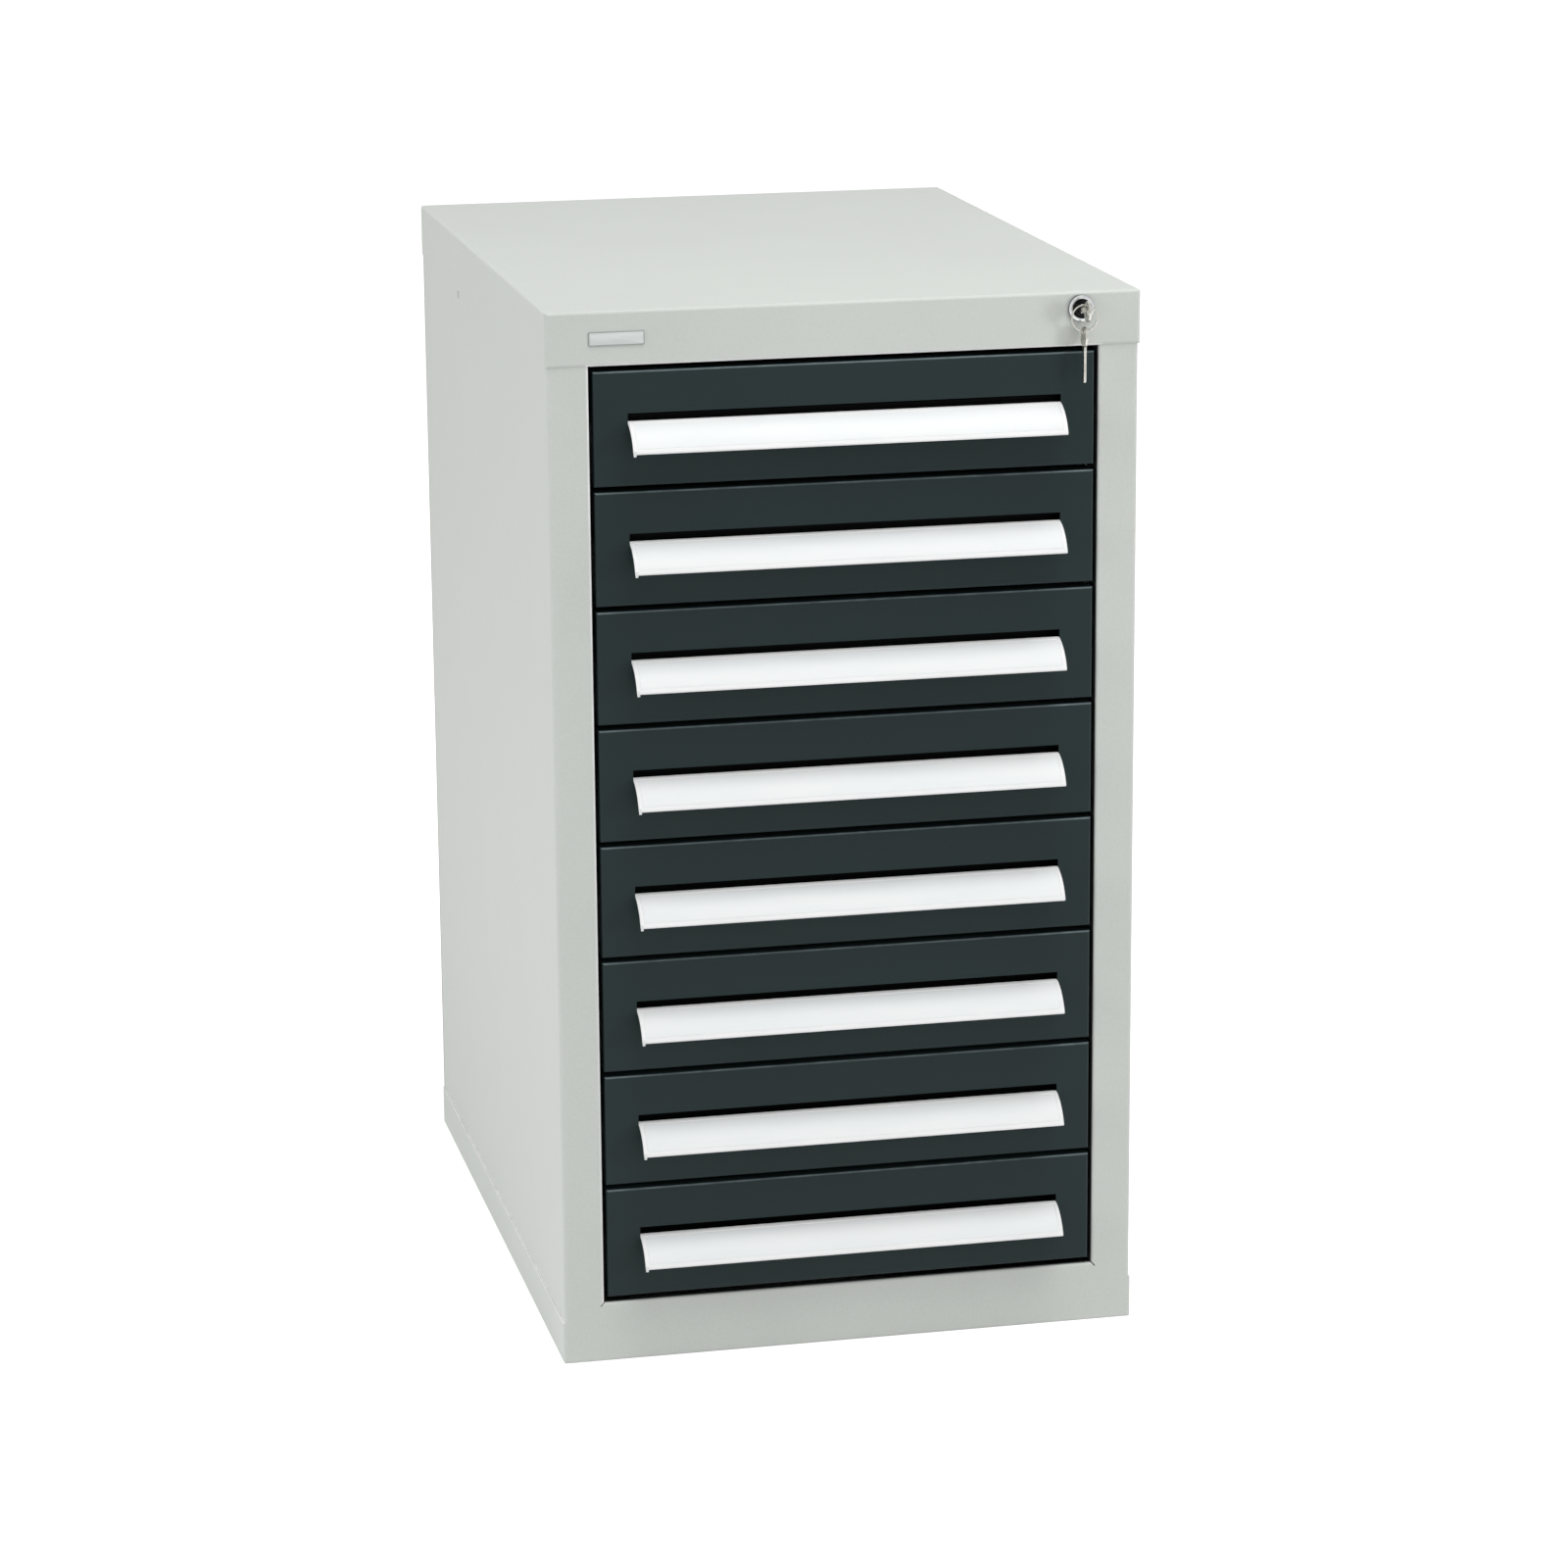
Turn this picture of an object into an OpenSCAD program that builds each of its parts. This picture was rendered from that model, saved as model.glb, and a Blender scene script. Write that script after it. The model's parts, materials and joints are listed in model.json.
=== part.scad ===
// Steel cabinet with eight drawers for microscope slides, central lock and bar grips.
// X runs across, the fronts face -Y, Z is up. The origin is the middle of the underside.

/* [Cabinet] */
// Overall width, over the cover and the plinth
body_w = 433; // [400:1:480]
// Overall depth, over the cover
body_d = 590; // [570:1:640]
// Overall height
body_h = 780; // [760:1:820]
// Thickness of the outer steel sheet
sheet_t = 1.2; // [0.8:0.1:1.5]
// Outside radius of a fold in the outer sheet
bend_r = 2.4; // [1.8:0.1:3]
// Height of the cover's folded sides
cover_h = 39.5; // [36:0.5:44]
// Height of the plinth's folded sides
plinth_h = 32.5; // [28:0.5:40]
// Height of the rail between the plinth and the drawers
rail_h = 13.3; // [10:0.1:18]
// Width of the frame on each side of the drawers
stile_w = 31; // [29:0.5:36]
// Depth of the lips folded inwards at the sides of the opening
lip_d = 18; // [14:1:20]
// Depth of the short lip on the bottom rail
rail_lip = 4.5; // [4:0.5:10]
// Gap between the back panel and the sheets above and below it
panel_gap = 0.4; // [0.2:0.1:1]
// Width of the slits left where the folds meet at the opening's lower corners
slit_w = 0.8; // [0.5:0.1:1.2]

/* [Drawer fronts] */
// Gap above and below each front
front_gap = 4; // [3:0.1:5]
// Gap at each side of a front
side_gap = 2.8; // [2:0.1:4]
// Depth of a front, which is a folded pan
front_depth = 16; // [14:0.5:18]
// Thickness of the front's sheet
front_t = 1; // [0.7:0.1:1.2]
// Outside radius of a fold in the front
front_r = 1.6; // [1.3:0.1:2]
// Width of the lips on the back of a front
front_lip = 12; // [11:0.5:14]

/* [Grips] */
// Length of a grip
grip_len = 316; // [280:1:330]
// How far a grip stands out
grip_out = 21.5; // [17:0.5:24]
// Height of a grip
grip_h = 20.5; // [17:0.5:24]
// Radius of a grip's curved face
grip_curve = 30.5; // [25:0.5:40]
// Thickness of the grip's shell
grip_t = 2.2; // [1.6:0.1:2.6]
// Top of the grip below the top edge of the front
grip_down = 36; // [32:0.5:40]
// Height of the slot left open above the grip
grip_slot = 5.8; // [3:0.1:7]
// Depth of the clip flange behind the front
grip_clip = 12; // [8:1:14]

/* [Trays] */
// Room left between a closed tray and the back panel
tray_room = 57.6; // [40:0.1:75]
// Height of the tray's walls
tray_h = 46; // [42:0.5:46]
// Thickness of the tray's sheet
tray_t = 1; // [0.7:0.1:1.2]
// Space under a tray, down to the lower edge of its front
tray_lift = 2.5; // [2:0.1:4]
// Height of the lengthwise dividers
divider_h = 40; // [30:1:41]
// Rows of slides side by side in one tray
tray_rows = 3; // [3]

/* [Runners] */
// Height of the runner's outer member
runner_h = 35; // [32:0.5:36]
// Width of a closed runner
runner_w = 12.7; // [12:0.1:14]
// Length of a closed runner
runner_len = 480; // [460:1:490]
// Thickness of the runner's steel
runner_t = 1.2; // [1:0.1:1.3]
// Running gap between two members of a runner
runner_gap = 0.3; // [0.2:0.05:0.4]
// Bottom of a runner above the lower edge of the front
runner_lift = 6; // [5:0.5:7]
// Front end of a runner behind the back of the closed front
runner_back = 7.8; // [7:0.1:9]
// Width of an upright that carries the runners
upright_w = 40; // [30:1:50]
// Thickness of the uprights' steel
upright_t = 1.5; // [1:0.1:2]
// Front upright behind the frame's face
upright_front = 31.8; // [31:0.1:34]
// Rear upright's centre behind the middle of the cabinet
upright_rear = 160; // [120:1:180]

/* [Lock] */
// Distance from the cabinet's right side to the lock's axis
lock_in = 44.5; // [43:0.5:46]
// Lock's axis below the cabinet's top
lock_down = 12; // [11.8:0.1:13]
// Radius of the lock's collar
collar_r = 9.5; // [9:0.1:10]
// How far the collar stands out
collar_l = 3.5; // [3:0.1:4]
// Depth of the funnel in the collar, with the plug at its bottom
plug_sunk = 1.2; // [0.3:0.1:1.8]
// Width of the funnel's slope
funnel_w = 1.4; // [0.8:0.1:2]
// Radius of the lock's barrel
barrel_r = 8; // [7.5:0.1:8.5]
// Length of the barrel behind the cover's face
barrel_l = 24; // [22:0.5:24.5]
// Radius of the turning plug
plug_r = 5.5; // [5:0.1:6]
// Radial running clearance of the plug
plug_gap = 0.05; // [0.03:0.01:0.08]
// Distance from the plug's axis to the crank pin
crank_r = 7; // [6:0.1:7.5]
// Radius of the crank pin
crank_pin_r = 2; // [1.5:0.1:2.2]
// Width of the lock bar
bar_w = 12; // [10:0.5:13]
// Thickness of the lock bar
bar_t = 2.5; // [2:0.1:3]
// Length of the fingers that hold the drawers
finger_l = 14.4; // [13.5:0.1:14.8]
// Height of the fingers
finger_h = 6; // [5:0.5:6.5]
// Play of the lock bar in its guides
bar_play = 0.3; // [0.2:0.05:0.5]

/* [Keys] */
// Thickness of a key
key_t = 2.2; // [1.8:0.1:2.4]
// Radius of a key's head
key_head_r = 7.5; // [7:0.1:8]
// Height of a key's blade
key_blade_w = 6.5; // [5.5:0.1:7]
// Length of a key's blade
key_blade_l = 26; // [22:0.5:27]
// Radius of the hole in a key's head
key_hole_r = 2; // [1.8:0.1:2.3]
// Radius of the round neck between the plug and the key's head
key_neck_r = 2.5; // [2.2:0.1:2.8]
// Length of that neck in front of the collar
key_neck_l = 8; // [7.5:0.1:9]
// Radius of the wire of the key ring
ring_wire_r = 0.8; // [0.6:0.1:0.9]
// Inside radius of the key ring
ring_in_r = 8.6; // [8.2:0.1:9]
// Clearance where the ring hangs on the neck, and the key on the ring
hang_gap = 0.3; // [0.2:0.05:0.4]

/* [Badge and plugs] */
// Width of the blank badge plate
badge_w = 40; // [30:1:50]
// Height of the blank badge plate
badge_h = 10; // [8:0.5:14]
// Thickness of the badge plate
badge_t = 0.8; // [0.5:0.1:1.2]
// Radius of the plug in each side panel
plug_cap_r = 3; // [2:0.5:5]
// Side plug's centre below the cover
plug_cap_down = 6.5; // [5:0.5:12]
// Side plug's centre behind the middle of the cabinet
plug_cap_back = 110; // [60:1:200]

/* [Hidden] */
$fn = 48;
drawer_count = 8;
drawers = [1 : drawer_count];
sides = [-1, 1];

face_y = -body_d / 2;                       // front face of the cover
frame_y = face_y + sheet_t;                 // front face of frame, plinth and drawers
back_y = body_d / 2;                        // outer face at the back
side_x = body_w / 2 - sheet_t;              // outer face of a side panel
wall_x = side_x - sheet_t;                  // inner face of a side panel
open_x = body_w / 2 - stile_w;              // half the opening
open_top = body_h - cover_h;
open_bottom = plinth_h + rail_h;
front_h = (open_top - open_bottom - (drawer_count + 1) * front_gap) / drawer_count;
front_x = open_x - side_gap;                // half a front
front_back_y = frame_y + front_depth;       // back of a front's lips
tray_x = open_x - runner_w;                 // outer face of a tray's wall
tray_back_y = back_y - sheet_t - tray_room; // rear end of a closed tray
tray_d = tray_back_y - front_back_y;
tray_z = tray_lift;                         // underside of a tray over its front's lower edge
runner_y = front_back_y + runner_back;      // front end of the closed runners
runner_z = runner_lift + runner_h / 2;      // middle of a runner over its front's lower edge
upright_y = frame_y + upright_front;        // front face of the front upright

grip_chord = norm([grip_out, grip_h]);
grip_sag = sqrt(pow(grip_curve, 2) - pow(grip_chord / 2, 2)) / grip_chord;
grip_mid_y = -grip_out / 2 + grip_sag * grip_h;    // centre of the curve, behind the front
grip_mid_z = -grip_h / 2 - grip_sag * grip_out;    // and below the grip's top

lock_x = body_w / 2 - lock_in;
lock_z = body_h - lock_down;
plug_face_y = face_y - collar_l + plug_sunk;
barrel_end_y = face_y + barrel_l;
cam_t = 2;
cam_y = barrel_end_y + 0.5;                 // front of the crank plate
crank_turn = 90;                            // the key's turn
bar_lift = 2 * crank_r * sin(crank_turn / 2);
bar_y = upright_y - bar_t - 1.5;            // front face of the lock bar
bar_x = open_x + 3.5;                       // left edge of the lock bar
arm_top = lock_z + bar_lift / 2 - crank_r;  // keeps the raised arm under the cover
arm_h = 11.5;
pin_slot_gap = 0.6;
finger_z = tray_lift + tray_h - 1.5;        // lower edge of a resting finger
catch_z = finger_z + finger_h + 1.5;        // lower edge of a catch
catch_h = 15.5;
catch_t = 2.5;
catch_gap = 1;                              // clearance of a finger in its catch
catch_x = tray_x + 3.2;
guide_h = 16;
guide_t = 3;

ring_r = ring_in_r + ring_wire_r;           // middle line of the ring
ring_y = face_y - collar_l - key_neck_l + 2 * ring_wire_r + hang_gap;
ring_z = lock_z + key_neck_r + hang_gap - ring_in_r;
spare_hole_z = ring_z - ring_r + ring_wire_r + hang_gap - key_hole_r;
key_hole_off = key_head_r - key_hole_r - 2; // hole's centre from the head's centre

// lower edge of the front of drawer i, counted from the top
function drawer_z(i) = open_bottom + front_gap + (drawer_count - i) * (front_h + front_gap);
function node_names(stem) = [for (i = drawers) str(stem, "_", i)];

light_grey = [0.80, 0.82, 0.80];
anthracite = [0.17, 0.21, 0.22];
zinc = [0.72, 0.74, 0.75];
chrome = [0.85, 0.86, 0.88];

// ---- shapes used by several pieces ----

module rounded_rect(w, h, r) {
    square([w - 2 * r, h], center = true);
    square([w, h - 2 * r], center = true);
    for (x = sides, y = sides)
        translate([x * (w / 2 - r), y * (h / 2 - r)]) circle(r);
}

// rectangle of depth d and width w whose two corners at the left are rounded
module face_rounded(d, w, r) {
    translate([r, -w / 2]) square([d - r, w]);
    translate([0, r - w / 2]) square([d, w - 2 * r]);
    for (s = sides)
        translate([r, s * (w / 2 - r)]) circle(r);
}

// block from corner a to corner b
module block(a, b) {
    translate(a) cube(b - a);
}

// hollow from corner a to corner b with rounded upright corners, left under folded sheet
module hollow(a, b, r) {
    size = b - a;
    translate([(a.x + b.x) / 2, (a.y + b.y) / 2, a.z])
        linear_extrude(size.z) rounded_rect(size.x, size.y, r);
}

// block from corner a to corner b with every edge rounded like folded sheet
module folded_block(a, b, r) {
    size = b - a;
    translate((a + b) / 2)
        intersection() {
            linear_extrude(size.z, center = true) rounded_rect(size.x, size.y, r);
            rotate([90, 0, 0])
                linear_extrude(size.y, center = true) rounded_rect(size.x, size.z, r);
            rotate([90, 0, 90])
                linear_extrude(size.x, center = true) rounded_rect(size.y, size.z, r);
        }
}

// 2D profile in Y and Z, drawn out along X from x0 to x1
module along_x(x0, x1) {
    translate([x0, 0, 0]) rotate([90, 0, 90]) linear_extrude(x1 - x0) children();
}

// round bar along Y from y0 to y1
module bar_y_axis(x, z, y0, y1, r) {
    translate([x, y0, z]) rotate([-90, 0, 0]) cylinder(h = y1 - y0, r = r);
}

module both_sides() {
    children();
    mirror([1, 0, 0]) children();
}

// prism behind the front plane, its outline drawn in X and Z from the right end of the
// opening's lower edge
module at_corner() {
    translate([open_x, frame_y + lip_d + 1, open_bottom]) rotate([90, 0, 0])
        linear_extrude(lip_d + 2) children();
}

// outline of the bottom rail's end, cut at 45 degrees where it meets the stile's fold
module rail_end() {
    r = bend_r;
    polygon([[-r, r], [-r, -open_bottom], [r, -open_bottom], [r, -r]]);
}

// what the stile's fold takes from the end of the rail
module stile_end() {
    r = 2 * bend_r;
    polygon([[0, 0], [r, 0], [r, -r]]);
}

// slit left open along that cut
module corner_slit() {
    rotate(-45) translate([-slit_w, -slit_w / 2])
        square([sqrt(2) * bend_r + 2 * slit_w, slit_w]);
}

// ---- cabinet ----

module top_cover() {
    w = body_w / 2;
    color(light_grey) difference() {
        intersection() {
            folded_block([-w, face_y, body_h - 2 * cover_h], [w, back_y, body_h], bend_r);
            // lower front edge folded inwards
            along_x(-w, w) translate([0, body_h - cover_h]) union() {
                translate([face_y + bend_r, 0]) square([body_d - bend_r, cover_h]);
                translate([face_y, bend_r]) square([body_d, cover_h - bend_r]);
                translate([face_y + bend_r, bend_r]) circle(bend_r);
            }
        }
        difference() {
            hollow([-w + sheet_t, face_y + sheet_t, body_h - 3 * cover_h],
                   [w - sheet_t, back_y - sheet_t, body_h - sheet_t], bend_r - sheet_t);
            block([-open_x + 1, face_y, open_top - cover_h],
                  [open_x - 1, face_y + lip_d - 6, open_top + sheet_t]);
        }
        bar_y_axis(lock_x, lock_z, face_y - 1, face_y + sheet_t + 1, barrel_r + plug_gap);
    }
}

// folded upright sheet on the right; the left one is its mirror image
module side_panel() {
    z_top = body_h - sheet_t;
    half_d = body_d / 2 - sheet_t;
    mid_x = (open_x + side_x) / 2;
    depth = side_x - open_x;
    color(light_grey) difference() {
        translate([mid_x, 0, sheet_t]) linear_extrude(z_top - sheet_t) difference() {
            rounded_rect(depth, 2 * half_d, bend_r);
            rounded_rect(depth - 2 * sheet_t, 2 * (half_d - sheet_t), bend_r - sheet_t);
            translate([-depth, 0])
                square([depth + 2 * bend_r, 2 * (half_d - lip_d)], center = true);
        }
        // room for the plinth's front and for the end of the bottom rail
        block([open_x - 1, frame_y - 1, 0], [side_x + 1, frame_y + bend_r, plinth_h]);
        at_corner() rail_end();
        at_corner() corner_slit();
        translate([wall_x - 1, plug_cap_back, open_top - plug_cap_down])
            rotate([0, 90, 0]) cylinder(h = sheet_t + 2, r = plug_cap_r - 1);
    }
}

module right_side_panel() {
    side_panel();
}

module left_side_panel() {
    mirror([1, 0, 0]) side_panel();
}

module back_panel() {
    color(light_grey)
        block([-side_x, back_y - sheet_t, plinth_h + panel_gap],
              [side_x, back_y, open_top - panel_gap]);
}

module base_plinth() {
    w = body_w / 2;
    color(light_grey) difference() {
        folded_block([-w, frame_y, 0], [w, back_y, 2 * plinth_h], bend_r);
        hollow([-w + sheet_t, frame_y + sheet_t, sheet_t],
               [w - sheet_t, back_y - sheet_t, 3 * plinth_h], bend_r - sheet_t);
        block([-w - 1, frame_y - 1, plinth_h], [w + 1, back_y + 1, 3 * plinth_h]);
    }
}

module bottom_rail() {
    x = open_x + bend_r;
    color(light_grey) difference() {
        along_x(-x, x) translate([frame_y, plinth_h]) difference() {
            union() {
                square([rail_lip, rail_h - bend_r]);
                translate([bend_r, 0]) square([rail_lip - bend_r, rail_h]);
                translate([bend_r, rail_h - bend_r]) circle(bend_r);
            }
            translate([sheet_t, -1]) square([rail_lip, rail_h - sheet_t + 1]);
        }
        // the lip lies between the lips of the side panels
        for (s = sides)
            translate([s * (open_x + bend_r), frame_y + sheet_t + lip_d, plinth_h])
                cube([2 * bend_r, 2 * lip_d, 4 * rail_h], center = true);
        both_sides() {
            at_corner() stile_end();
            at_corner() corner_slit();
        }
    }
}

module runner_uprights() {
    slot_h = 12;
    slot_w = 4;
    color(zinc) for (s = sides, y = [upright_y, upright_rear - upright_w / 2])
        difference() {
            block([min(s * open_x, s * wall_x), y, sheet_t],
                  [max(s * open_x, s * wall_x), y + upright_w, open_top]);
            block([min(s * (open_x + upright_t), s * (wall_x + 1)), y + upright_t, 0],
                  [max(s * (open_x + upright_t), s * (wall_x + 1)),
                   y + upright_w - upright_t, body_h]);
            // hanging slots for the runners
            for (i = drawers)
                translate([s * open_x, y + upright_w / 2, drawer_z(i) + front_h - slot_h])
                    cube([4 * upright_t, slot_w, slot_h], center = true);
        }
}

// ---- runners: one channel inside the next, open sides facing ----

// channel on the right side: web from x0 to x0 + runner_t times side, flanges to x1
module channel(x_web, x_tip, half_h) {
    t = runner_t;
    dir = x_tip > x_web ? 1 : -1;
    y = [runner_y, runner_y + runner_len];
    block([min(x_web, x_web + dir * t), y[0], -half_h],
          [max(x_web, x_web + dir * t), y[1], half_h]);
    for (s = sides)
        block([min(x_web, x_tip), y[0], s > 0 ? half_h - t : -half_h],
              [max(x_web, x_tip), y[1], s > 0 ? half_h : t - half_h]);
}

module cabinet_runners() {
    color(zinc) for (i = drawers) translate([0, 0, drawer_z(i) + runner_z])
        both_sides() channel(open_x, tray_x + 2.9, runner_h / 2);
}

module runner_middle(i) {
    web = open_x - runner_t - runner_gap;
    color(zinc) translate([0, 0, drawer_z(i) + runner_z])
        both_sides() channel(web, tray_x + 2.4, runner_h / 2 - runner_t - runner_gap);
}

module runner_inner(i) {
    tip = open_x - 2 * (runner_t + runner_gap) - runner_gap;
    color(zinc) translate([0, 0, drawer_z(i) + runner_z])
        both_sides() channel(tray_x, tip, runner_h / 2 - 2 * (runner_t + runner_gap));
}

// ---- drawers ----

module drawer_front(i) {
    z0 = drawer_z(i);
    z1 = z0 + front_h;
    grip_top = z1 - grip_down;
    t = front_t;
    color(anthracite) difference() {
        translate([0, frame_y, z0]) intersection() {
            along_x(-front_x, front_x)
                translate([0, front_h / 2]) face_rounded(front_depth, front_h, front_r);
            linear_extrude(front_h)
                rotate([0, 0, 90]) mirror([0, 1]) face_rounded(front_depth, 2 * front_x, front_r);
        }
        block([-front_x + t, frame_y + t, z0 + t], [front_x - t, front_back_y - t, z1 - t]);
        block([-front_x + front_lip, front_back_y - 2 * t, z0 + front_lip],
              [front_x - front_lip, front_back_y + t, z1 - front_lip]);
        // slot that the grip clips into, open above it
        block([-grip_len / 2, frame_y - 1, grip_top - grip_t],
              [grip_len / 2, frame_y + 2 * t, grip_top + grip_slot]);
    }
}

// outline of a grip's curved shell in Y and Z, from the middle of its top edge
module grip_shell() {
    intersection() {
        translate([-grip_out, -grip_h]) square([grip_out, grip_h]);
        translate([grip_mid_y, grip_mid_z]) difference() {
            circle(grip_curve);
            circle(grip_curve - grip_t);
        }
    }
}

module drawer_grip(i) {
    grip_z = drawer_z(i) + front_h - grip_down;
    clip_t = 2;
    color("white") along_x(-grip_len / 2, grip_len / 2) translate([frame_y, grip_z]) {
        grip_shell();
        translate([0, -grip_t]) square([front_t + clip_t, grip_t]);
        translate([front_t, -grip_t - grip_clip]) square([clip_t, grip_clip + grip_t]);
    }
}

module drawer_catch(z0) {
    z = z0 + catch_z;
    y_end = bar_y + bar_t + 7;
    block([catch_x - 2, front_back_y, z - 2], [front_x - 0.5, front_back_y + 1.5, z + catch_h + 2]);
    difference() {
        block([catch_x, front_back_y + 1.5, z], [catch_x + catch_t, y_end, z + catch_h]);
        block([catch_x - 1, bar_y - catch_gap, z - 1],
              [catch_x + catch_t + 1, bar_y + bar_t + catch_gap, z + bar_lift + catch_gap]);
    }
}

module drawer_tray(i) {
    z0 = drawer_z(i);
    z = z0 + tray_z;
    t = tray_t;
    y0 = front_back_y;
    y1 = y0 + tray_d;
    row_pitch = 2 * (tray_x - t) / tray_rows;
    color(anthracite) {
        difference() {
            block([-tray_x, y0, z], [tray_x, y1, z + tray_h]);
            block([-tray_x + t, y0 + t, z + t], [tray_x - t, y1 - t, z + tray_h + 1]);
        }
        for (n = [1 : tray_rows - 1])
            translate([-tray_x + t + n * row_pitch - t / 2, y0 + t, z + t])
                cube([t, tray_d - 2 * t, divider_h]);
        drawer_catch(z0);
    }
}

// ---- lock ----

module lock_housing() {
    color(chrome) difference() {
        union() {
            bar_y_axis(lock_x, lock_z, face_y - collar_l + 1, face_y, collar_r);
            translate([lock_x, face_y - collar_l, lock_z])
                rotate([-90, 0, 0]) cylinder(h = 1, r1 = collar_r - 1, r2 = collar_r);
            bar_y_axis(lock_x, lock_z, face_y - collar_l + 1, barrel_end_y, barrel_r);
        }
        bar_y_axis(lock_x, lock_z, face_y - collar_l - 1, barrel_end_y + 1, plug_r + plug_gap);
        translate([lock_x, face_y - collar_l - 0.1, lock_z]) rotate([-90, 0, 0])
            cylinder(h = plug_sunk + 0.1, r1 = plug_r + plug_gap + funnel_w, r2 = plug_r + plug_gap);
    }
}

module lock_nut() {
    nut_t = 3;
    nut_r = 10;
    color(zinc) difference() {
        bar_y_axis(lock_x, lock_z, face_y + sheet_t, face_y + sheet_t + nut_t, nut_r);
        bar_y_axis(lock_x, lock_z, face_y, face_y + sheet_t + 2 * nut_t, barrel_r + plug_gap);
    }
}

module lock_plug() {
    slot_l = key_blade_l - 2;
    color(chrome) difference() {
        bar_y_axis(lock_x, lock_z, plug_face_y, cam_y, plug_r);
        translate([lock_x, plug_face_y - 1 + (slot_l + 1) / 2, lock_z])
            cube([key_t + 0.3, slot_l + 1, key_blade_w + 0.4], center = true);
    }
}

// crank plate with its pin and screw; the pin rests at the lower left
module lock_crank() {
    pin = [lock_x - crank_r * cos(crank_turn / 2), lock_z - crank_r * sin(crank_turn / 2)];
    y1 = cam_y + cam_t;
    color(zinc) {
        union() {
            bar_y_axis(lock_x, lock_z, cam_y, y1, plug_r);
            bar_y_axis(pin.x, pin.y, cam_y, y1, crank_pin_r + 1.5);
            translate([lock_x, cam_y, lock_z]) rotate([0, -crank_turn / 2, 0])
                translate([-crank_r, 0, -crank_pin_r - 1.5])
                    cube([crank_r, cam_t, 2 * crank_pin_r + 3]);
            bar_y_axis(pin.x, pin.y, cam_y, bar_y + bar_t + 1, crank_pin_r);
        }
        bar_y_axis(lock_x, lock_z, y1, y1 + 1.5, 3);
    }
}

// head of a key in the plane Y Z, its centre at the origin, its blade towards -Z
module key_head() {
    translate([-key_t / 2, 0, 0]) rotate([0, 90, 0]) difference() {
        cylinder(h = key_t, r = key_head_r);
        translate([-key_hole_off, 0, -1]) cylinder(h = key_t + 2, r = key_hole_r);
    }
}

module cabinet_key() {
    y_neck = face_y - collar_l - key_neck_l;
    blade_end = plug_face_y + key_blade_l - 3;
    color(zinc) union() {
        translate([lock_x, y_neck - key_head_r + 0.7, lock_z]) rotate([-90, 0, 0])
            mirror([0, 0, 1]) rotate([180, 0, 0]) key_head();
        bar_y_axis(lock_x, lock_z, y_neck, plug_face_y, key_neck_r);
        block([lock_x - key_t / 2, plug_face_y - 1, lock_z - key_blade_w / 2],
              [lock_x + key_t / 2, blade_end, lock_z + key_blade_w / 2]);
    }
}

module key_ring() {
    color(chrome) translate([lock_x, ring_y, ring_z]) rotate([90, 0, 0])
        rotate_extrude() translate([ring_r, 0]) circle(ring_wire_r);
}

module spare_key() {
    head_z = spare_hole_z - key_hole_off;
    color(zinc) translate([lock_x, ring_y, head_z]) {
        key_head();
        translate([-key_t / 2, -key_blade_w / 2, -key_head_r - key_blade_l + 1])
            cube([key_t, key_blade_w, key_blade_l]);
    }
}

module lock_bar() {
    y1 = bar_y + bar_t;
    foot = drawer_z(drawer_count) + 12;
    pin_z = lock_z - crank_r * sin(crank_turn / 2);
    pin_run = crank_r * (1 - cos(crank_turn / 2));
    slot_w = pin_run + 2 * (crank_pin_r + pin_slot_gap);
    slot_h = 2 * (crank_pin_r + pin_slot_gap);
    slot_x = lock_x - crank_r - crank_pin_r - pin_slot_gap;
    color(zinc) difference() {
        union() {
            block([bar_x, bar_y, foot], [bar_x + bar_w, y1, arm_top]);
            block([slot_x - 3, bar_y, arm_top - arm_h], [bar_x + 1, y1, arm_top]);
            for (i = drawers)
                block([bar_x - finger_l, bar_y, drawer_z(i) + finger_z],
                      [bar_x + 1, y1, drawer_z(i) + finger_z + finger_h]);
        }
        block([slot_x, bar_y - 1, pin_z - slot_h / 2],
              [slot_x + slot_w, y1 + 1, pin_z + slot_h / 2]);
    }
}

module lock_bar_guides() {
    p = bar_play;
    color(zinc) for (i = [1, drawer_count / 2, drawer_count]) {
        z = drawer_z(i) + runner_z - guide_h / 2;
        difference() {
            block([bar_x - guide_t, bar_y - guide_t, z],
                  [bar_x + bar_w + guide_t, upright_y, z + guide_h]);
            block([bar_x - p, bar_y - p, z - 1],
                  [bar_x + bar_w + p, bar_y + bar_t + p, z + guide_h + 1]);
        }
    }
}

// ---- trim ----

module badge_plate() {
    color("gainsboro")
        block([-open_x, face_y - badge_t, open_top + (cover_h - badge_h) / 2],
              [-open_x + badge_w, face_y, open_top + (cover_h + badge_h) / 2]);
}

module side_hole_plugs() {
    color(light_grey) both_sides()
        translate([side_x, plug_cap_back, open_top - plug_cap_down]) rotate([0, 90, 0]) {
            cylinder(h = 0.8, r1 = plug_cap_r, r2 = plug_cap_r - 0.5);
            translate([0, 0, -sheet_t]) cylinder(h = sheet_t, r = plug_cap_r - 1);
        }
}

module back_panel_screws() {
    head_r = 4;
    head_h = 1.8;
    rows = 5;
    z_low = plinth_h + 20;
    z_step = (open_top - 20 - z_low) / (rows - 1);
    color(zinc) both_sides() for (n = [0 : rows - 1])
        translate([side_x - stile_w / 2, back_y, z_low + n * z_step]) rotate([-90, 0, 0])
            cylinder(h = head_h, r1 = head_r, r2 = head_r - 1.2);
}

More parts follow.
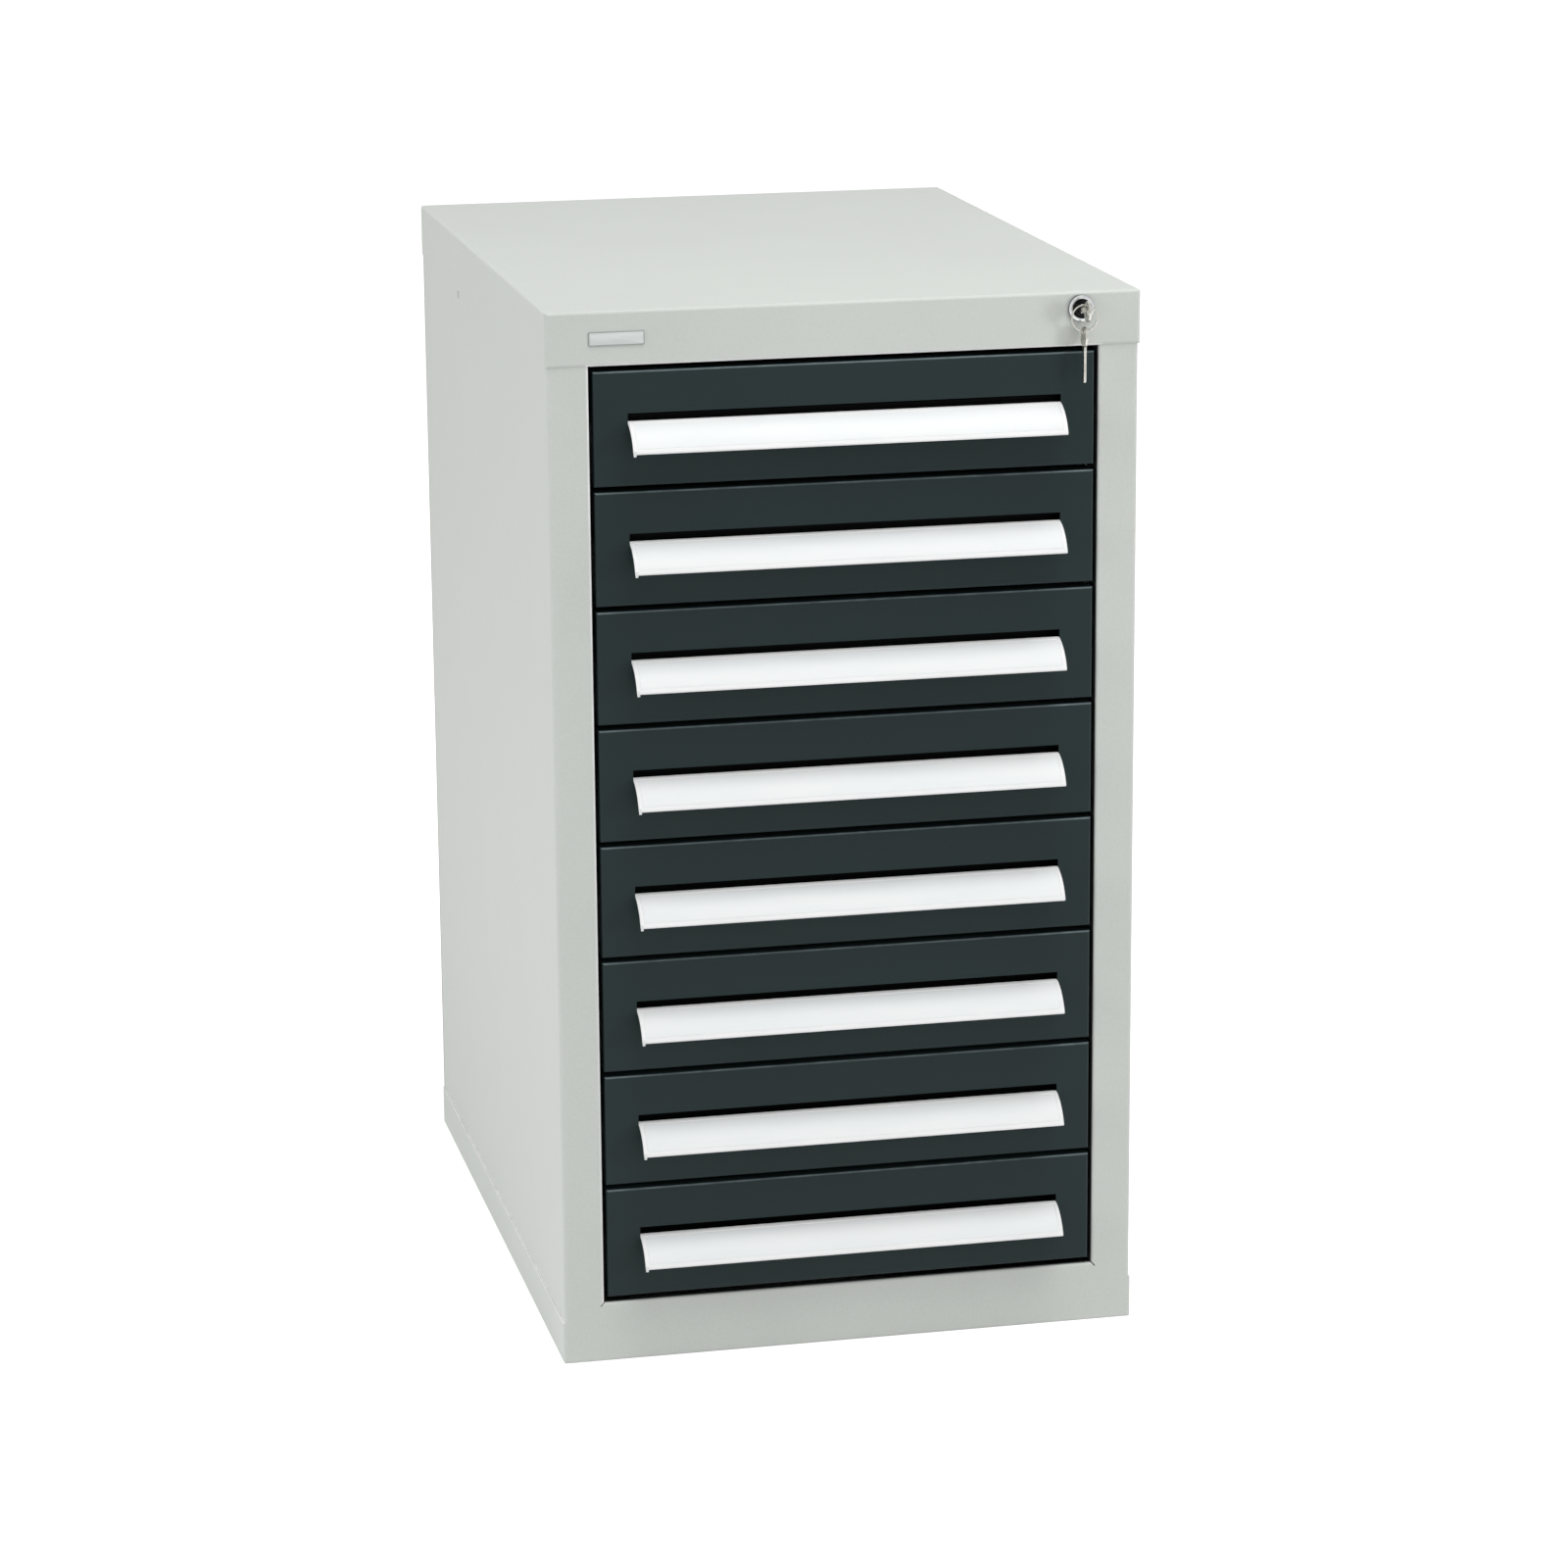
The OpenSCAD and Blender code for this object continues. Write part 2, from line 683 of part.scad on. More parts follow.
top_cover();
left_side_panel();
right_side_panel();
back_panel();
base_plinth();
bottom_rail();
runner_uprights();
cabinet_runners();
back_panel_screws();
side_hole_plugs();
badge_plate();
lock_housing();
lock_nut();
lock_plug();
lock_crank();
cabinet_key();
key_ring();
spare_key();
lock_bar();
lock_bar_guides();
for (i = drawers) {
    drawer_front(i);
    drawer_tray(i);
    drawer_grip(i);
    runner_inner(i);
    runner_middle(i);
}
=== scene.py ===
import json
import math

import bmesh
import bpy
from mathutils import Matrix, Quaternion, Vector


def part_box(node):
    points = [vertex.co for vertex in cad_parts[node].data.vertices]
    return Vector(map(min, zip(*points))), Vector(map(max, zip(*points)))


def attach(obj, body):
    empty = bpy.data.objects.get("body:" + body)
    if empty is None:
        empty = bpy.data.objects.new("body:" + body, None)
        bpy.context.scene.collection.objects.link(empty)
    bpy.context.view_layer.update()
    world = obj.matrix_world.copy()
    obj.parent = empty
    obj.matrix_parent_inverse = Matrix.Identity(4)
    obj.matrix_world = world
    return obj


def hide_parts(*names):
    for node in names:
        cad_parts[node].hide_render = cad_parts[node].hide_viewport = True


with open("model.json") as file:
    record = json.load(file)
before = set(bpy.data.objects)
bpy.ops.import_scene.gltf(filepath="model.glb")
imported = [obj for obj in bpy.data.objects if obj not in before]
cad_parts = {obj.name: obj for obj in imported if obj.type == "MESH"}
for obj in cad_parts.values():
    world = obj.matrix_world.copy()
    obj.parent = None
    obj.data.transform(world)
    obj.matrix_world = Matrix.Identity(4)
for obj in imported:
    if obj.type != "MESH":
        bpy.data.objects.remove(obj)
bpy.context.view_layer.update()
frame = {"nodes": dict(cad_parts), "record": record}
nodes = frame["nodes"]
scene = bpy.context.scene
mm = 0.001
drawerCount = 8
print("frame loaded:", len(nodes), "nodes")


# ---- camera, light and floor ----

cameraView = {
    "place": (-786.0, -3670.0, 1307.4),  # mm
    "target": (0.0, -95.0, 390.0),
    "roll": -0.43,  # degrees
    "lens": 113.4,
    "shift": (-0.0032, -0.0092),
}

cameraData = bpy.data.cameras.new("photoCamera")
cameraData.lens = cameraView["lens"]
cameraData.sensor_width = 36
cameraData.shift_x, cameraData.shift_y = cameraView["shift"]
cameraData.clip_end = 100
camera = bpy.data.objects.new("photoCamera", cameraData)
scene.collection.objects.link(camera)
cameraPlace = Vector(cameraView["place"]) * mm
aim = (Vector(cameraView["target"]) * mm - cameraPlace).to_track_quat("-Z", "Y")
camera.rotation_mode = "QUATERNION"
camera.location = cameraPlace
camera.rotation_quaternion = aim @ Quaternion((0, 0, 1), math.radians(cameraView["roll"]))
scene.camera = camera
scene.view_settings.view_transform = "Standard"


def addNode(tree, kind, values=None, links=None, **options):
    node = tree.nodes.new(kind)
    for option, value in options.items():
        setattr(node, option, value)
    for socket, value in (values or {}).items():
        node.inputs[socket].default_value = value
    for socket, source in (links or {}).items():
        tree.links.new(source, node.inputs[socket])
    return node


def hexColour(text):
    channels = [int(text[i:i + 2], 16) / 255 for i in (1, 3, 5)]
    linear = [c / 12.92 if c <= 0.04045 else ((c + 0.055) / 1.055) ** 2.4 for c in channels]
    return (*linear, 1.0)


def emptyTree(owner):
    owner.use_nodes = True
    owner.node_tree.nodes.clear()
    return owner.node_tree


def seenRays(tree):
    # 1 for what the camera sees, be it straight, mirrored or through glass
    path = addNode(tree, "ShaderNodeLightPath")
    seen = addNode(tree, "ShaderNodeMath", operation="MAXIMUM",
                   links={0: path.outputs["Is Camera Ray"], 1: path.outputs["Is Glossy Ray"]})
    return addNode(tree, "ShaderNodeMath", operation="MAXIMUM",
                   links={0: seen.outputs[0], 1: path.outputs["Is Transmission Ray"]}).outputs[0]


studio = {
    "skyLight": 0.37,  # what the pale room gives to every side
    "floorGlow": 0.78,  # brings the floor to white where the cabinet leaves it lit
    "floorReflects": 0.80,
    "floorSides": (-30, 30, -30, 40),  # left, right, front and back, m
    "lamps": {
        # name: place, aim, width, height in m, power in W
        "keyLamp": ((2.5, -2.5, 0.95), (0.0, -0.2, 0.5), 0.6, 0.9, 24),
        "leftLamp": ((-3.3, -0.7, 1.2), (-0.2, 0.0, 0.4), 1.8, 1.8, 38.5),
        "topLamp": ((0.4, -1.1, 3.0), (0.0, -0.1, 0.6), 1.5, 1.5, 42.5),
    },
}

sky = bpy.data.worlds.new("paleRoom")
scene.world = sky
tree = emptyTree(sky)
seen = seenRays(tree)
light = addNode(tree, "ShaderNodeBackground", {"Color": (1, 1, 1, 1), "Strength": studio["skyLight"]})
shown = addNode(tree, "ShaderNodeBackground", {"Color": (1, 1, 1, 1), "Strength": 1.0})
mix = addNode(tree, "ShaderNodeMixShader", links={0: seen, 1: light.outputs[0], 2: shown.outputs[0]})
addNode(tree, "ShaderNodeOutputWorld", links={0: mix.outputs[0]})

for name, (place, target, width, height, power) in studio["lamps"].items():
    data = bpy.data.lights.new(name, "AREA")
    data.shape = "RECTANGLE"
    data.size, data.size_y, data.energy = width, height, power
    lamp = bpy.data.objects.new(name, data)
    lamp.location = place
    lamp.rotation_euler = (Vector(target) - Vector(place)).to_track_quat("-Z", "Y").to_euler()
    lamp.visible_camera = False
    lamp.visible_glossy = False
    scene.collection.objects.link(lamp)

left, right, near, far = studio["floorSides"]
floorMesh = bpy.data.meshes.new("studioFloor")
floorMesh.from_pydata([(left, near, 0), (right, near, 0), (right, far, 0), (left, far, 0)], [], [(0, 1, 2, 3)])
floor = bpy.data.objects.new("studioFloor", floorMesh)
scene.collection.objects.link(floor)
paper = bpy.data.materials.new("whitePaperFloor")
tree = emptyTree(paper)
glow = addNode(tree, "ShaderNodeMath", {1: studio["floorGlow"]}, {0: seenRays(tree)}, operation="MULTIPLY")
white = addNode(tree, "ShaderNodeEmission", {"Color": (1, 1, 1, 1)}, {"Strength": glow.outputs[0]})
pale = studio["floorReflects"]
matt = addNode(tree, "ShaderNodeBsdfDiffuse", {"Color": (pale, pale, pale, 1)})
both = addNode(tree, "ShaderNodeAddShader", links={0: white.outputs[0], 1: matt.outputs[0]})
addNode(tree, "ShaderNodeOutputMaterial", links={0: both.outputs[0]})
floorMesh.materials.append(paper)
print("camera, lamps and floor ready")


# ---- materials ----

def startMaterial(name):
    material = bpy.data.materials.new(name)
    tree = emptyTree(material)
    place = addNode(tree, "ShaderNodeTexCoord").outputs["Object"]
    shader = addNode(tree, "ShaderNodeBsdfPrincipled")
    addNode(tree, "ShaderNodeOutputMaterial", links={0: shader.outputs[0]})
    return material, tree, place, shader


# the drawers' opening, mm
opening = {
    "halfWidth": 185.5,
    "low": 45.8,
    "high": 740.5,
    "face": -293.8,  # front of the sheet round it
    "back": 294.4,  # just short of the back panel's outer face
    "sheet": 1.3,  # margin that the painted shade inside takes in
    "fold": 2.4,  # margin that the painted fold highlight takes in
    "darkFrom": 0.6,  # behind the face, where the painted shade inside starts
    "shadeFull": 2.4,  # and where it is full
    "frontMiddle": 9.0,  # behind the face, middle of the space behind a front
    "frontHalf": 8.4,  # and half its depth
    "forwards": -0.6,  # a surface that looks forwards more than this counts as hidden by the front, and gets the painted shade
}
ledge = {"height": 32.4, "half": 0.8, "from": 215.2}  # the plinth's upper edge on the sides, where a highlight is painted, mm


def boxMask(tree, place, margin):
    # 1 within the drawers' opening, seen from the front, and a margin round it
    axes = addNode(tree, "ShaderNodeSeparateXYZ", links={0: place})
    across = addNode(tree, "ShaderNodeMath", {1: 0.0, 2: (opening["halfWidth"] + margin) * mm},
                     {0: axes.outputs[0]}, operation="COMPARE")
    middle, half = (opening["high"] + opening["low"]) / 2, (opening["high"] - opening["low"]) / 2
    upright = addNode(tree, "ShaderNodeMath", {1: middle * mm, 2: (half + margin) * mm},
                      {0: axes.outputs[2]}, operation="COMPARE")
    return addNode(tree, "ShaderNodeMath", links={0: across.outputs[0], 1: upright.outputs[0]},
                   operation="MULTIPLY").outputs[0]


def insideMask(tree, place):
    # 1 on what lies inside the drawers' opening, reached a little behind its rounded edge, where shade is
    # painted
    start, full = opening["face"] + opening["darkFrom"], opening["face"] + opening["shadeFull"]
    deep = addNode(tree, "ShaderNodeSeparateXYZ", links={0: place}).outputs[1]
    reached = addNode(tree, "ShaderNodeMapRange", {"From Min": start * mm, "From Max": full * mm},
                      {"Value": deep})
    # the outer face of the back panel is left as it is
    before = addNode(tree, "ShaderNodeMath", {1: opening["back"] * mm}, {0: deep}, operation="LESS_THAN")
    depth = addNode(tree, "ShaderNodeMath", operation="MULTIPLY",
                    links={0: reached.outputs[0], 1: before.outputs[0]})
    return addNode(tree, "ShaderNodeMath", operation="MULTIPLY",
                   links={0: boxMask(tree, place, opening["sheet"]), 1: depth.outputs[0]}).outputs[0]


def behindFrontShadeMask(tree, place):
    # 1 on what looks forwards from behind a drawer's front, such as the tray's front wall, where shade is
    # painted near black
    normal = addNode(tree, "ShaderNodeNewGeometry").outputs["Normal"]
    facing = addNode(tree, "ShaderNodeSeparateXYZ", links={0: normal}).outputs[1]
    forwards = addNode(tree, "ShaderNodeMath", {1: opening["forwards"]}, {0: facing}, operation="LESS_THAN")
    deep = addNode(tree, "ShaderNodeSeparateXYZ", links={0: place}).outputs[1]
    middle = opening["face"] + opening["frontMiddle"]
    depth = addNode(tree, "ShaderNodeMath", {1: middle * mm, 2: opening["frontHalf"] * mm}, {0: deep},
                    operation="COMPARE")
    return addNode(tree, "ShaderNodeMath", links={0: forwards.outputs[0], 1: depth.outputs[0]},
                   operation="MULTIPLY").outputs[0]


def ledgeHighlightMask(tree, place):
    # 1 along the plinth's upper edge on the cabinet's sides, where a highlight is painted
    axes = addNode(tree, "ShaderNodeSeparateXYZ", links={0: place})
    high = addNode(tree, "ShaderNodeMath", {1: ledge["height"] * mm, 2: ledge["half"] * mm},
                   {0: axes.outputs[2]}, operation="COMPARE")
    aside = addNode(tree, "ShaderNodeMath", {1: 0.0, 2: ledge["from"] * mm}, {0: axes.outputs[0]},
                    operation="COMPARE")
    return addNode(tree, "ShaderNodeMath", links={0: high.outputs[0], 1: aside.outputs[0]},
                   operation="SUBTRACT", use_clamp=True).outputs[0]


def foldHighlightMask(tree, place, coat):
    # painted highlight: 1 in the middle of a right-angled fold, 0 on flat sheet; weaker where the fold faces
    # away from the side the highlight is painted on, and outside the given frame
    normal = addNode(tree, "ShaderNodeNewGeometry").outputs["Normal"]
    axes = addNode(tree, "ShaderNodeSeparateXYZ", links={0: normal})
    shifted = addNode(tree, "ShaderNodeCombineXYZ",
                      links={0: axes.outputs[1], 1: axes.outputs[2], 2: axes.outputs[0]})
    product = addNode(tree, "ShaderNodeVectorMath", links={0: normal, 1: shifted.outputs[0]},
                      operation="MULTIPLY")
    size = addNode(tree, "ShaderNodeVectorMath", links={0: product.outputs[0]}, operation="ABSOLUTE")
    fold = addNode(tree, "ShaderNodeVectorMath", {1: (2.0, 2.0, 2.0)}, {0: size.outputs[0]},
                   operation="DOT_PRODUCT").outputs["Value"]
    turned = addNode(tree, "ShaderNodeVectorMath", {1: coat["highlightSide"]}, {0: normal},
                     operation="DOT_PRODUCT")
    share = addNode(tree, "ShaderNodeMath", {1: coat["otherFolds"]}, {0: turned.outputs["Value"]},
                    operation="ADD", use_clamp=True)
    if coat["framed"]:
        inFrame = boxMask(tree, place, opening["fold"])
        share = addNode(tree, "ShaderNodeMath", links={0: share.outputs[0], 1: inFrame}, operation="MULTIPLY")
        share = addNode(tree, "ShaderNodeMath", {1: coat["otherFolds"]}, {0: share.outputs[0]},
                        operation="MAXIMUM")
    return addNode(tree, "ShaderNodeMath", links={0: fold, 1: share.outputs[0]}, operation="MULTIPLY",
                   use_clamp=True).outputs[0]


coatPattern = {
    "cloud": 180.0,  # mm, size of the soft mottling
    "highlightBreak": 14.0,  # mm, size of the broken places along a painted fold highlight
    "grainShade": 0.035,  # how far the grain lightens and darkens the colour
    "leastHighlight": 0.6,  # share of the painted highlight that is left in the broken places
    "highlightSmooth": -0.12,  # what the full fold highlight does to the roughness
    "roughSpread": 0.05,
}


def powderCoat(name, coat):
    # electrostatically sprayed and stoved: satin, with an orange peel and a fine grain
    pattern = coatPattern
    material, tree, place, shader = startMaterial(name)
    cloud = addNode(tree, "ShaderNodeTexNoise",
                    {"Scale": 1 / (pattern["cloud"] * mm), "Detail": 3.0, "Roughness": 0.55}, {"Vector": place})
    speck = addNode(tree, "ShaderNodeTexNoise", {"Scale": 1 / (coat["grain"] * mm), "Detail": 2.0},
                    {"Vector": place})
    ramp = addNode(tree, "ShaderNodeValToRGB", links={"Fac": cloud.outputs[0]})
    ramp.color_ramp.elements[0].position = 0.35
    ramp.color_ramp.elements[0].color = hexColour(coat["dark"])
    ramp.color_ramp.elements[1].position = 0.65
    ramp.color_ramp.elements[1].color = hexColour(coat["light"])
    ramp.color_ramp.elements.new(0.5).color = hexColour(coat["base"])
    grain = addNode(tree, "ShaderNodeMapRange",
                    {"From Min": 0.3, "From Max": 0.7, "To Min": 1 - pattern["grainShade"],
                     "To Max": 1 + pattern["grainShade"]}, {"Value": speck.outputs[0]})
    shade = addNode(tree, "ShaderNodeVectorMath", links={0: ramp.outputs["Color"], 3: grain.outputs[0]},
                    operation="SCALE")
    # painted highlight: pale and uneven over folds and edges, on the sides where the light falls
    edges = foldHighlightMask(tree, place, coat)
    # and a painted highlight along the plinth's upper edge
    if coat["framed"]:
        edges = addNode(tree, "ShaderNodeMath", links={0: edges, 1: ledgeHighlightMask(tree, place)},
                        operation="MAXIMUM").outputs[0]
    broken = addNode(tree, "ShaderNodeTexNoise", {"Scale": 1 / (pattern["highlightBreak"] * mm), "Detail": 4.0},
                     {"Vector": place})
    share = addNode(tree, "ShaderNodeMapRange",
                    {"From Min": 0.35, "From Max": 0.65, "To Min": coat["highlightAmount"] * pattern["leastHighlight"],
                     "To Max": coat["highlightAmount"]}, {"Value": broken.outputs[0]})
    highlightAmount = addNode(tree, "ShaderNodeMath", links={0: edges, 1: share.outputs[0]}, operation="MULTIPLY",
                   use_clamp=True)
    colour = addNode(tree, "ShaderNodeMix", {7: hexColour(coat["paintedHighlight"])},
                     {0: highlightAmount.outputs[0], 6: shade.outputs[0]}, data_type="RGBA")
    # painted shade: the coat is drawn dark inside the opening and near black behind the fronts, standing in for
    # the shade in the gaps; the gaps look near black in the photo, so the coat is drawn dark inside the opening
    # and behind the fronts; that the spray is thin there is a guess
    paintedShade = insideMask(tree, place) if coat["framed"] else behindFrontShadeMask(tree, place)
    inner = addNode(tree, "ShaderNodeMix", {7: hexColour(coat["inside"])}, {0: paintedShade, 6: colour.outputs[2]},
                    data_type="RGBA")
    tree.links.new(inner.outputs[2], shader.inputs["Base Color"])
    rough = coat["roughness"]
    skin = addNode(tree, "ShaderNodeMapRange",
                   {"From Min": 0.3, "From Max": 0.7, "To Min": rough - pattern["roughSpread"],
                    "To Max": rough + pattern["roughSpread"]}, {"Value": cloud.outputs[0]})
    foldRoughness = addNode(tree, "ShaderNodeMath", {1: pattern["highlightSmooth"]},
                     {0: highlightAmount.outputs[0], 2: skin.outputs[0]}, operation="MULTIPLY_ADD")
    tree.links.new(foldRoughness.outputs[0], shader.inputs["Roughness"])
    shader.inputs["Specular IOR Level"].default_value = coat["specular"]
    waves = addNode(tree, "ShaderNodeTexNoise", {"Scale": 1 / (coat["peel"] * mm), "Detail": 1.5},
                    {"Vector": place})
    first = addNode(tree, "ShaderNodeBump", {"Strength": 0.28, "Distance": 0.06 * mm},
                    {"Height": waves.outputs[0]})
    second = addNode(tree, "ShaderNodeBump", {"Strength": 0.35, "Distance": 0.03 * mm},
                     {"Height": speck.outputs[0], "Normal": first.outputs[0]})
    tree.links.new(second.outputs[0], shader.inputs["Normal"])
    return material


# polyester powder coat on sheet steel, light grey: satin, slightly mottled, with a painted highlight over the
# folds round the opening and painted shade inside it
greyPowderCoat = powderCoat("lightGreyPowderCoat", {
    "base": "#CFD3CE", "light": "#D1D5D0", "dark": "#CCD0CB", "paintedHighlight": "#FFFFFF", "inside": "#2E3231",
    "highlightAmount": 0.95, "highlightSide": (1.5, 0.0, -1.5), "otherFolds": 0.10, "framed": True,
    "roughness": 0.50, "peel": 2.2, "grain": 0.9, "specular": 0.42})
# the same coat in anthracite: dark, with a thin pale painted highlight along its upper folds and near black
# painted shade behind the fronts
darkPowderCoat = powderCoat("anthracitePowderCoat", {
    "base": "#263132", "light": "#283334", "dark": "#242F30", "paintedHighlight": "#8C9A9E", "inside": "#020303",
    "highlightAmount": 0.72, "highlightSide": (0.15, 0.0, 1.3), "otherFolds": 0.05, "framed": False,
    "roughness": 0.46, "peel": 1.8, "grain": 0.8, "specular": 0.14})


def mouldedPlastic(name, light, dark, roughness, flow, specular):
    # injection moulded: smooth, with faint flow marks along its length
    material, tree, place, shader = startMaterial(name)
    fineness = 1 / (flow * mm)
    stretch = addNode(tree, "ShaderNodeMapping", {"Scale": (fineness / 6, fineness, fineness)},
                      {"Vector": place})
    marks = addNode(tree, "ShaderNodeTexNoise", {"Scale": 1.0, "Detail": 3.0}, {"Vector": stretch.outputs[0]})
    ramp = addNode(tree, "ShaderNodeValToRGB", links={"Fac": marks.outputs[0]})
    ramp.color_ramp.elements[0].position = 0.38
    ramp.color_ramp.elements[0].color = hexColour(dark)
    ramp.color_ramp.elements[1].position = 0.62
    ramp.color_ramp.elements[1].color = hexColour(light)
    tree.links.new(ramp.outputs["Color"], shader.inputs["Base Color"])
    sheen = addNode(tree, "ShaderNodeMapRange",
                    {"From Min": 0.3, "From Max": 0.7, "To Min": roughness - 0.04, "To Max": roughness + 0.06},
                    {"Value": marks.outputs[0]})
    tree.links.new(sheen.outputs[0], shader.inputs["Roughness"])
    shader.inputs["Specular IOR Level"].default_value = specular
    fine = addNode(tree, "ShaderNodeTexNoise", {"Scale": 1 / (0.6 * mm), "Detail": 2.0}, {"Vector": place})
    bump = addNode(tree, "ShaderNodeBump", {"Strength": 0.12, "Distance": 0.02 * mm},
                   {"Height": fine.outputs[0]})
    tree.links.new(bump.outputs[0], shader.inputs["Normal"])
    return material


# moulded ABS, white and satin, on the grips
whiteAbs = mouldedPlastic("whiteMouldedAbs", "#F6F6F6", "#F1F2F2", 0.34, 9.0, 0.5)
# coated card under a clear film, blank, in the grips' label fields: a shade greyer than the grip
labelCard = mouldedPlastic("blankCoatedCard", "#F2F4F4", "#EEF1F1", 0.42, 14.0, 0.5)
# moulded polystyrene, silvery white, on the blank badge plate, with a grey rim round it
badgeStyrene = mouldedPlastic("silverWhiteStyrene", "#D8DCDA", "#D2D7D5", 0.42, 4.0, 0.4)
rimStyrene = mouldedPlastic("greyStyreneRim", "#A4AAA8", "#9BA19F", 0.42, 4.0, 0.4)
# moulded polyethylene in the cabinet's grey, on the hole plugs
greyPolyethylene = mouldedPlastic("greyPolyethylene", "#C9CDC8", "#C1C6C1", 0.52, 3.0, 0.4)


def platedMetal(name, light, dark, roughness, streak, cell):
    # metal that is plated after forming: a streak along its length, soft clouds, a few rub marks
    material, tree, place, shader = startMaterial(name)
    shader.inputs["Metallic"].default_value = 1.0
    fineness = 1 / (streak * mm)
    stretch = addNode(tree, "ShaderNodeMapping", {"Scale": (fineness, fineness / 14, fineness)},
                      {"Vector": place})
    lines = addNode(tree, "ShaderNodeTexNoise", {"Scale": 1.0, "Detail": 4.0, "Roughness": 0.6},
                    {"Vector": stretch.outputs[0]})
    flakes = addNode(tree, "ShaderNodeTexVoronoi", {"Scale": 1 / (cell * mm)}, {"Vector": place})
    tone = addNode(tree, "ShaderNodeSeparateColor", links={0: flakes.outputs["Color"]})
    blend = addNode(tree, "ShaderNodeMath", {1: 0.35}, {0: tone.outputs[0], 2: lines.outputs[0]},
                    operation="MULTIPLY_ADD")
    ramp = addNode(tree, "ShaderNodeValToRGB", links={"Fac": blend.outputs[0]})
    ramp.color_ramp.elements[0].position = 0.40
    ramp.color_ramp.elements[0].color = hexColour(dark)
    ramp.color_ramp.elements[1].position = 0.95
    ramp.color_ramp.elements[1].color = hexColour(light)
    tree.links.new(ramp.outputs["Color"], shader.inputs["Base Color"])
    rough = addNode(tree, "ShaderNodeMapRange",
                    {"From Min": 0.3, "From Max": 0.9, "To Min": roughness * 0.75, "To Max": roughness * 1.25},
                    {"Value": blend.outputs[0]})
    tree.links.new(rough.outputs[0], shader.inputs["Roughness"])
    bump = addNode(tree, "ShaderNodeBump", {"Strength": 0.15, "Distance": 0.015 * mm},
                   {"Height": lines.outputs[0]})
    tree.links.new(bump.outputs[0], shader.inputs["Normal"])
    return material


# cold rolled steel, zinc plated: bluish grey with rolling streaks
zincSteel = platedMetal("zincPlatedSteel", "#C9CED1", "#A9AFB3", 0.36, 1.2, 9.0)
# die-cast zinc, polished and chrome plated: a clear, slightly cool mirror
chromeCast = platedMetal("chromePlatedCasting", "#D9DBDC", "#BFC2C4", 0.09, 2.0, 5.0)
# brass keys, nickel plated: warmer and duller, rubbed by pockets
nickelBrass = platedMetal("nickelPlatedBrass", "#D3D2CC", "#B3B1A9", 0.24, 0.8, 3.0)
# black nickel on the turning plug and the lock's dark parts: painted shade, a dark mirror standing in for the
# shade in the bright collar
shadeBlackNickel = platedMetal("blackNickelPaintedShade", "#2C2D2E", "#18191A", 0.20, 1.0, 3.0)

slotFinish = {
    "light_grey_powder_coat": greyPowderCoat,
    "anthracite_powder_coat": darkPowderCoat,
    "white_grip": whiteAbs,
    "zinc_steel": zincSteel,
    "lock_chrome": chromeCast,
    "key_nickel": nickelBrass,
    "badge_plastic": badgeStyrene,
    "cap_plastic": greyPolyethylene,
}
nodeSlot = {part["node"]: part["material_slot"] for part in frame["record"]["subparts"]}
for name, obj in nodes.items():
    # the turning plug takes the black nickel in place of its chrome: painted shade in the lock's recess
    finish = shadeBlackNickel if name == "lock_plug" else slotFinish[nodeSlot[name]]
    if not obj.material_slots:
        obj.data.materials.append(finish)
    for slot in obj.material_slots:
        slot.material = finish
print("materials on every node")


# ---- meshes ----

def finishMesh(name, mesh, material, body, replaced=(), smoothAngle=35):
    bm = bmesh.new()
    bm.from_mesh(mesh)
    bmesh.ops.remove_doubles(bm, verts=bm.verts, dist=0.002 * mm)
    bmesh.ops.recalc_face_normals(bm, faces=bm.faces)
    for face in bm.faces:
        face.smooth = True
    for edge in bm.edges:
        if len(edge.link_faces) == 2 and edge.calc_face_angle(0) > math.radians(smoothAngle):
            edge.smooth = False
    bm.to_mesh(mesh)
    bm.free()
    mesh.name = name
    mesh.materials.clear()
    mesh.materials.append(material)
    piece = bpy.data.objects.new(name, mesh)
    scene.collection.objects.link(piece)
    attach(piece, body)
    if replaced:
        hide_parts(*replaced)
    return piece


def meshFrom(points, faces):
    mesh = bpy.data.meshes.new("made")
    mesh.from_pydata([Vector(p) * mm for p in points], [], faces)
    return mesh


def loftRings(rings, closedEnds=True):
    # rings of the same number of points, each joined to the next
    count = len(rings[0])
    points = [p for ring in rings for p in ring]
    faces = []
    for r in range(len(rings) - 1):
        for i in range(count):
            a, b = r * count + i, r * count + (i + 1) % count
            faces.append((a, b, b + count, a + count))
    if closedEnds:
        faces.append(tuple(reversed(range(count))))
        faces.append(tuple(range((len(rings) - 1) * count, len(rings) * count)))
    return points, faces


def turnedRings(profile, segments=64, closedLoop=False):
    # profile of (radius, along) turned round an axis; gives points as (across, up, along)
    points, rows, faces = [], [], []
    for radius, along in profile:
        if radius < 1e-6:
            rows.append([len(points)] * segments)
            points.append((0.0, 0.0, along))
            continue
        rows.append(list(range(len(points), len(points) + segments)))
        for s in range(segments):
            a = 2 * math.pi * s / segments
            points.append((radius * math.cos(a), radius * math.sin(a), along))
    pairs = list(zip(rows, rows[1:])) + ([(rows[-1], rows[0])] if closedLoop else [])
    for low, high in pairs:
        for s in range(segments):
            t = (s + 1) % segments
            corners = list(dict.fromkeys((low[s], low[t], high[t], high[s])))
            if len(corners) > 2:
                faces.append(tuple(corners))
    return points, faces


def joinShapes(shapes):
    points, faces = [], []
    for somePoints, someFaces in shapes:
        base = len(points)
        points += somePoints
        faces += [tuple(i + base for i in face) for face in someFaces]
    return points, faces


def moved(shape, place):
    points, faces = shape
    return [place(*p) for p in points], faces


# ---- grips and their label strips ----

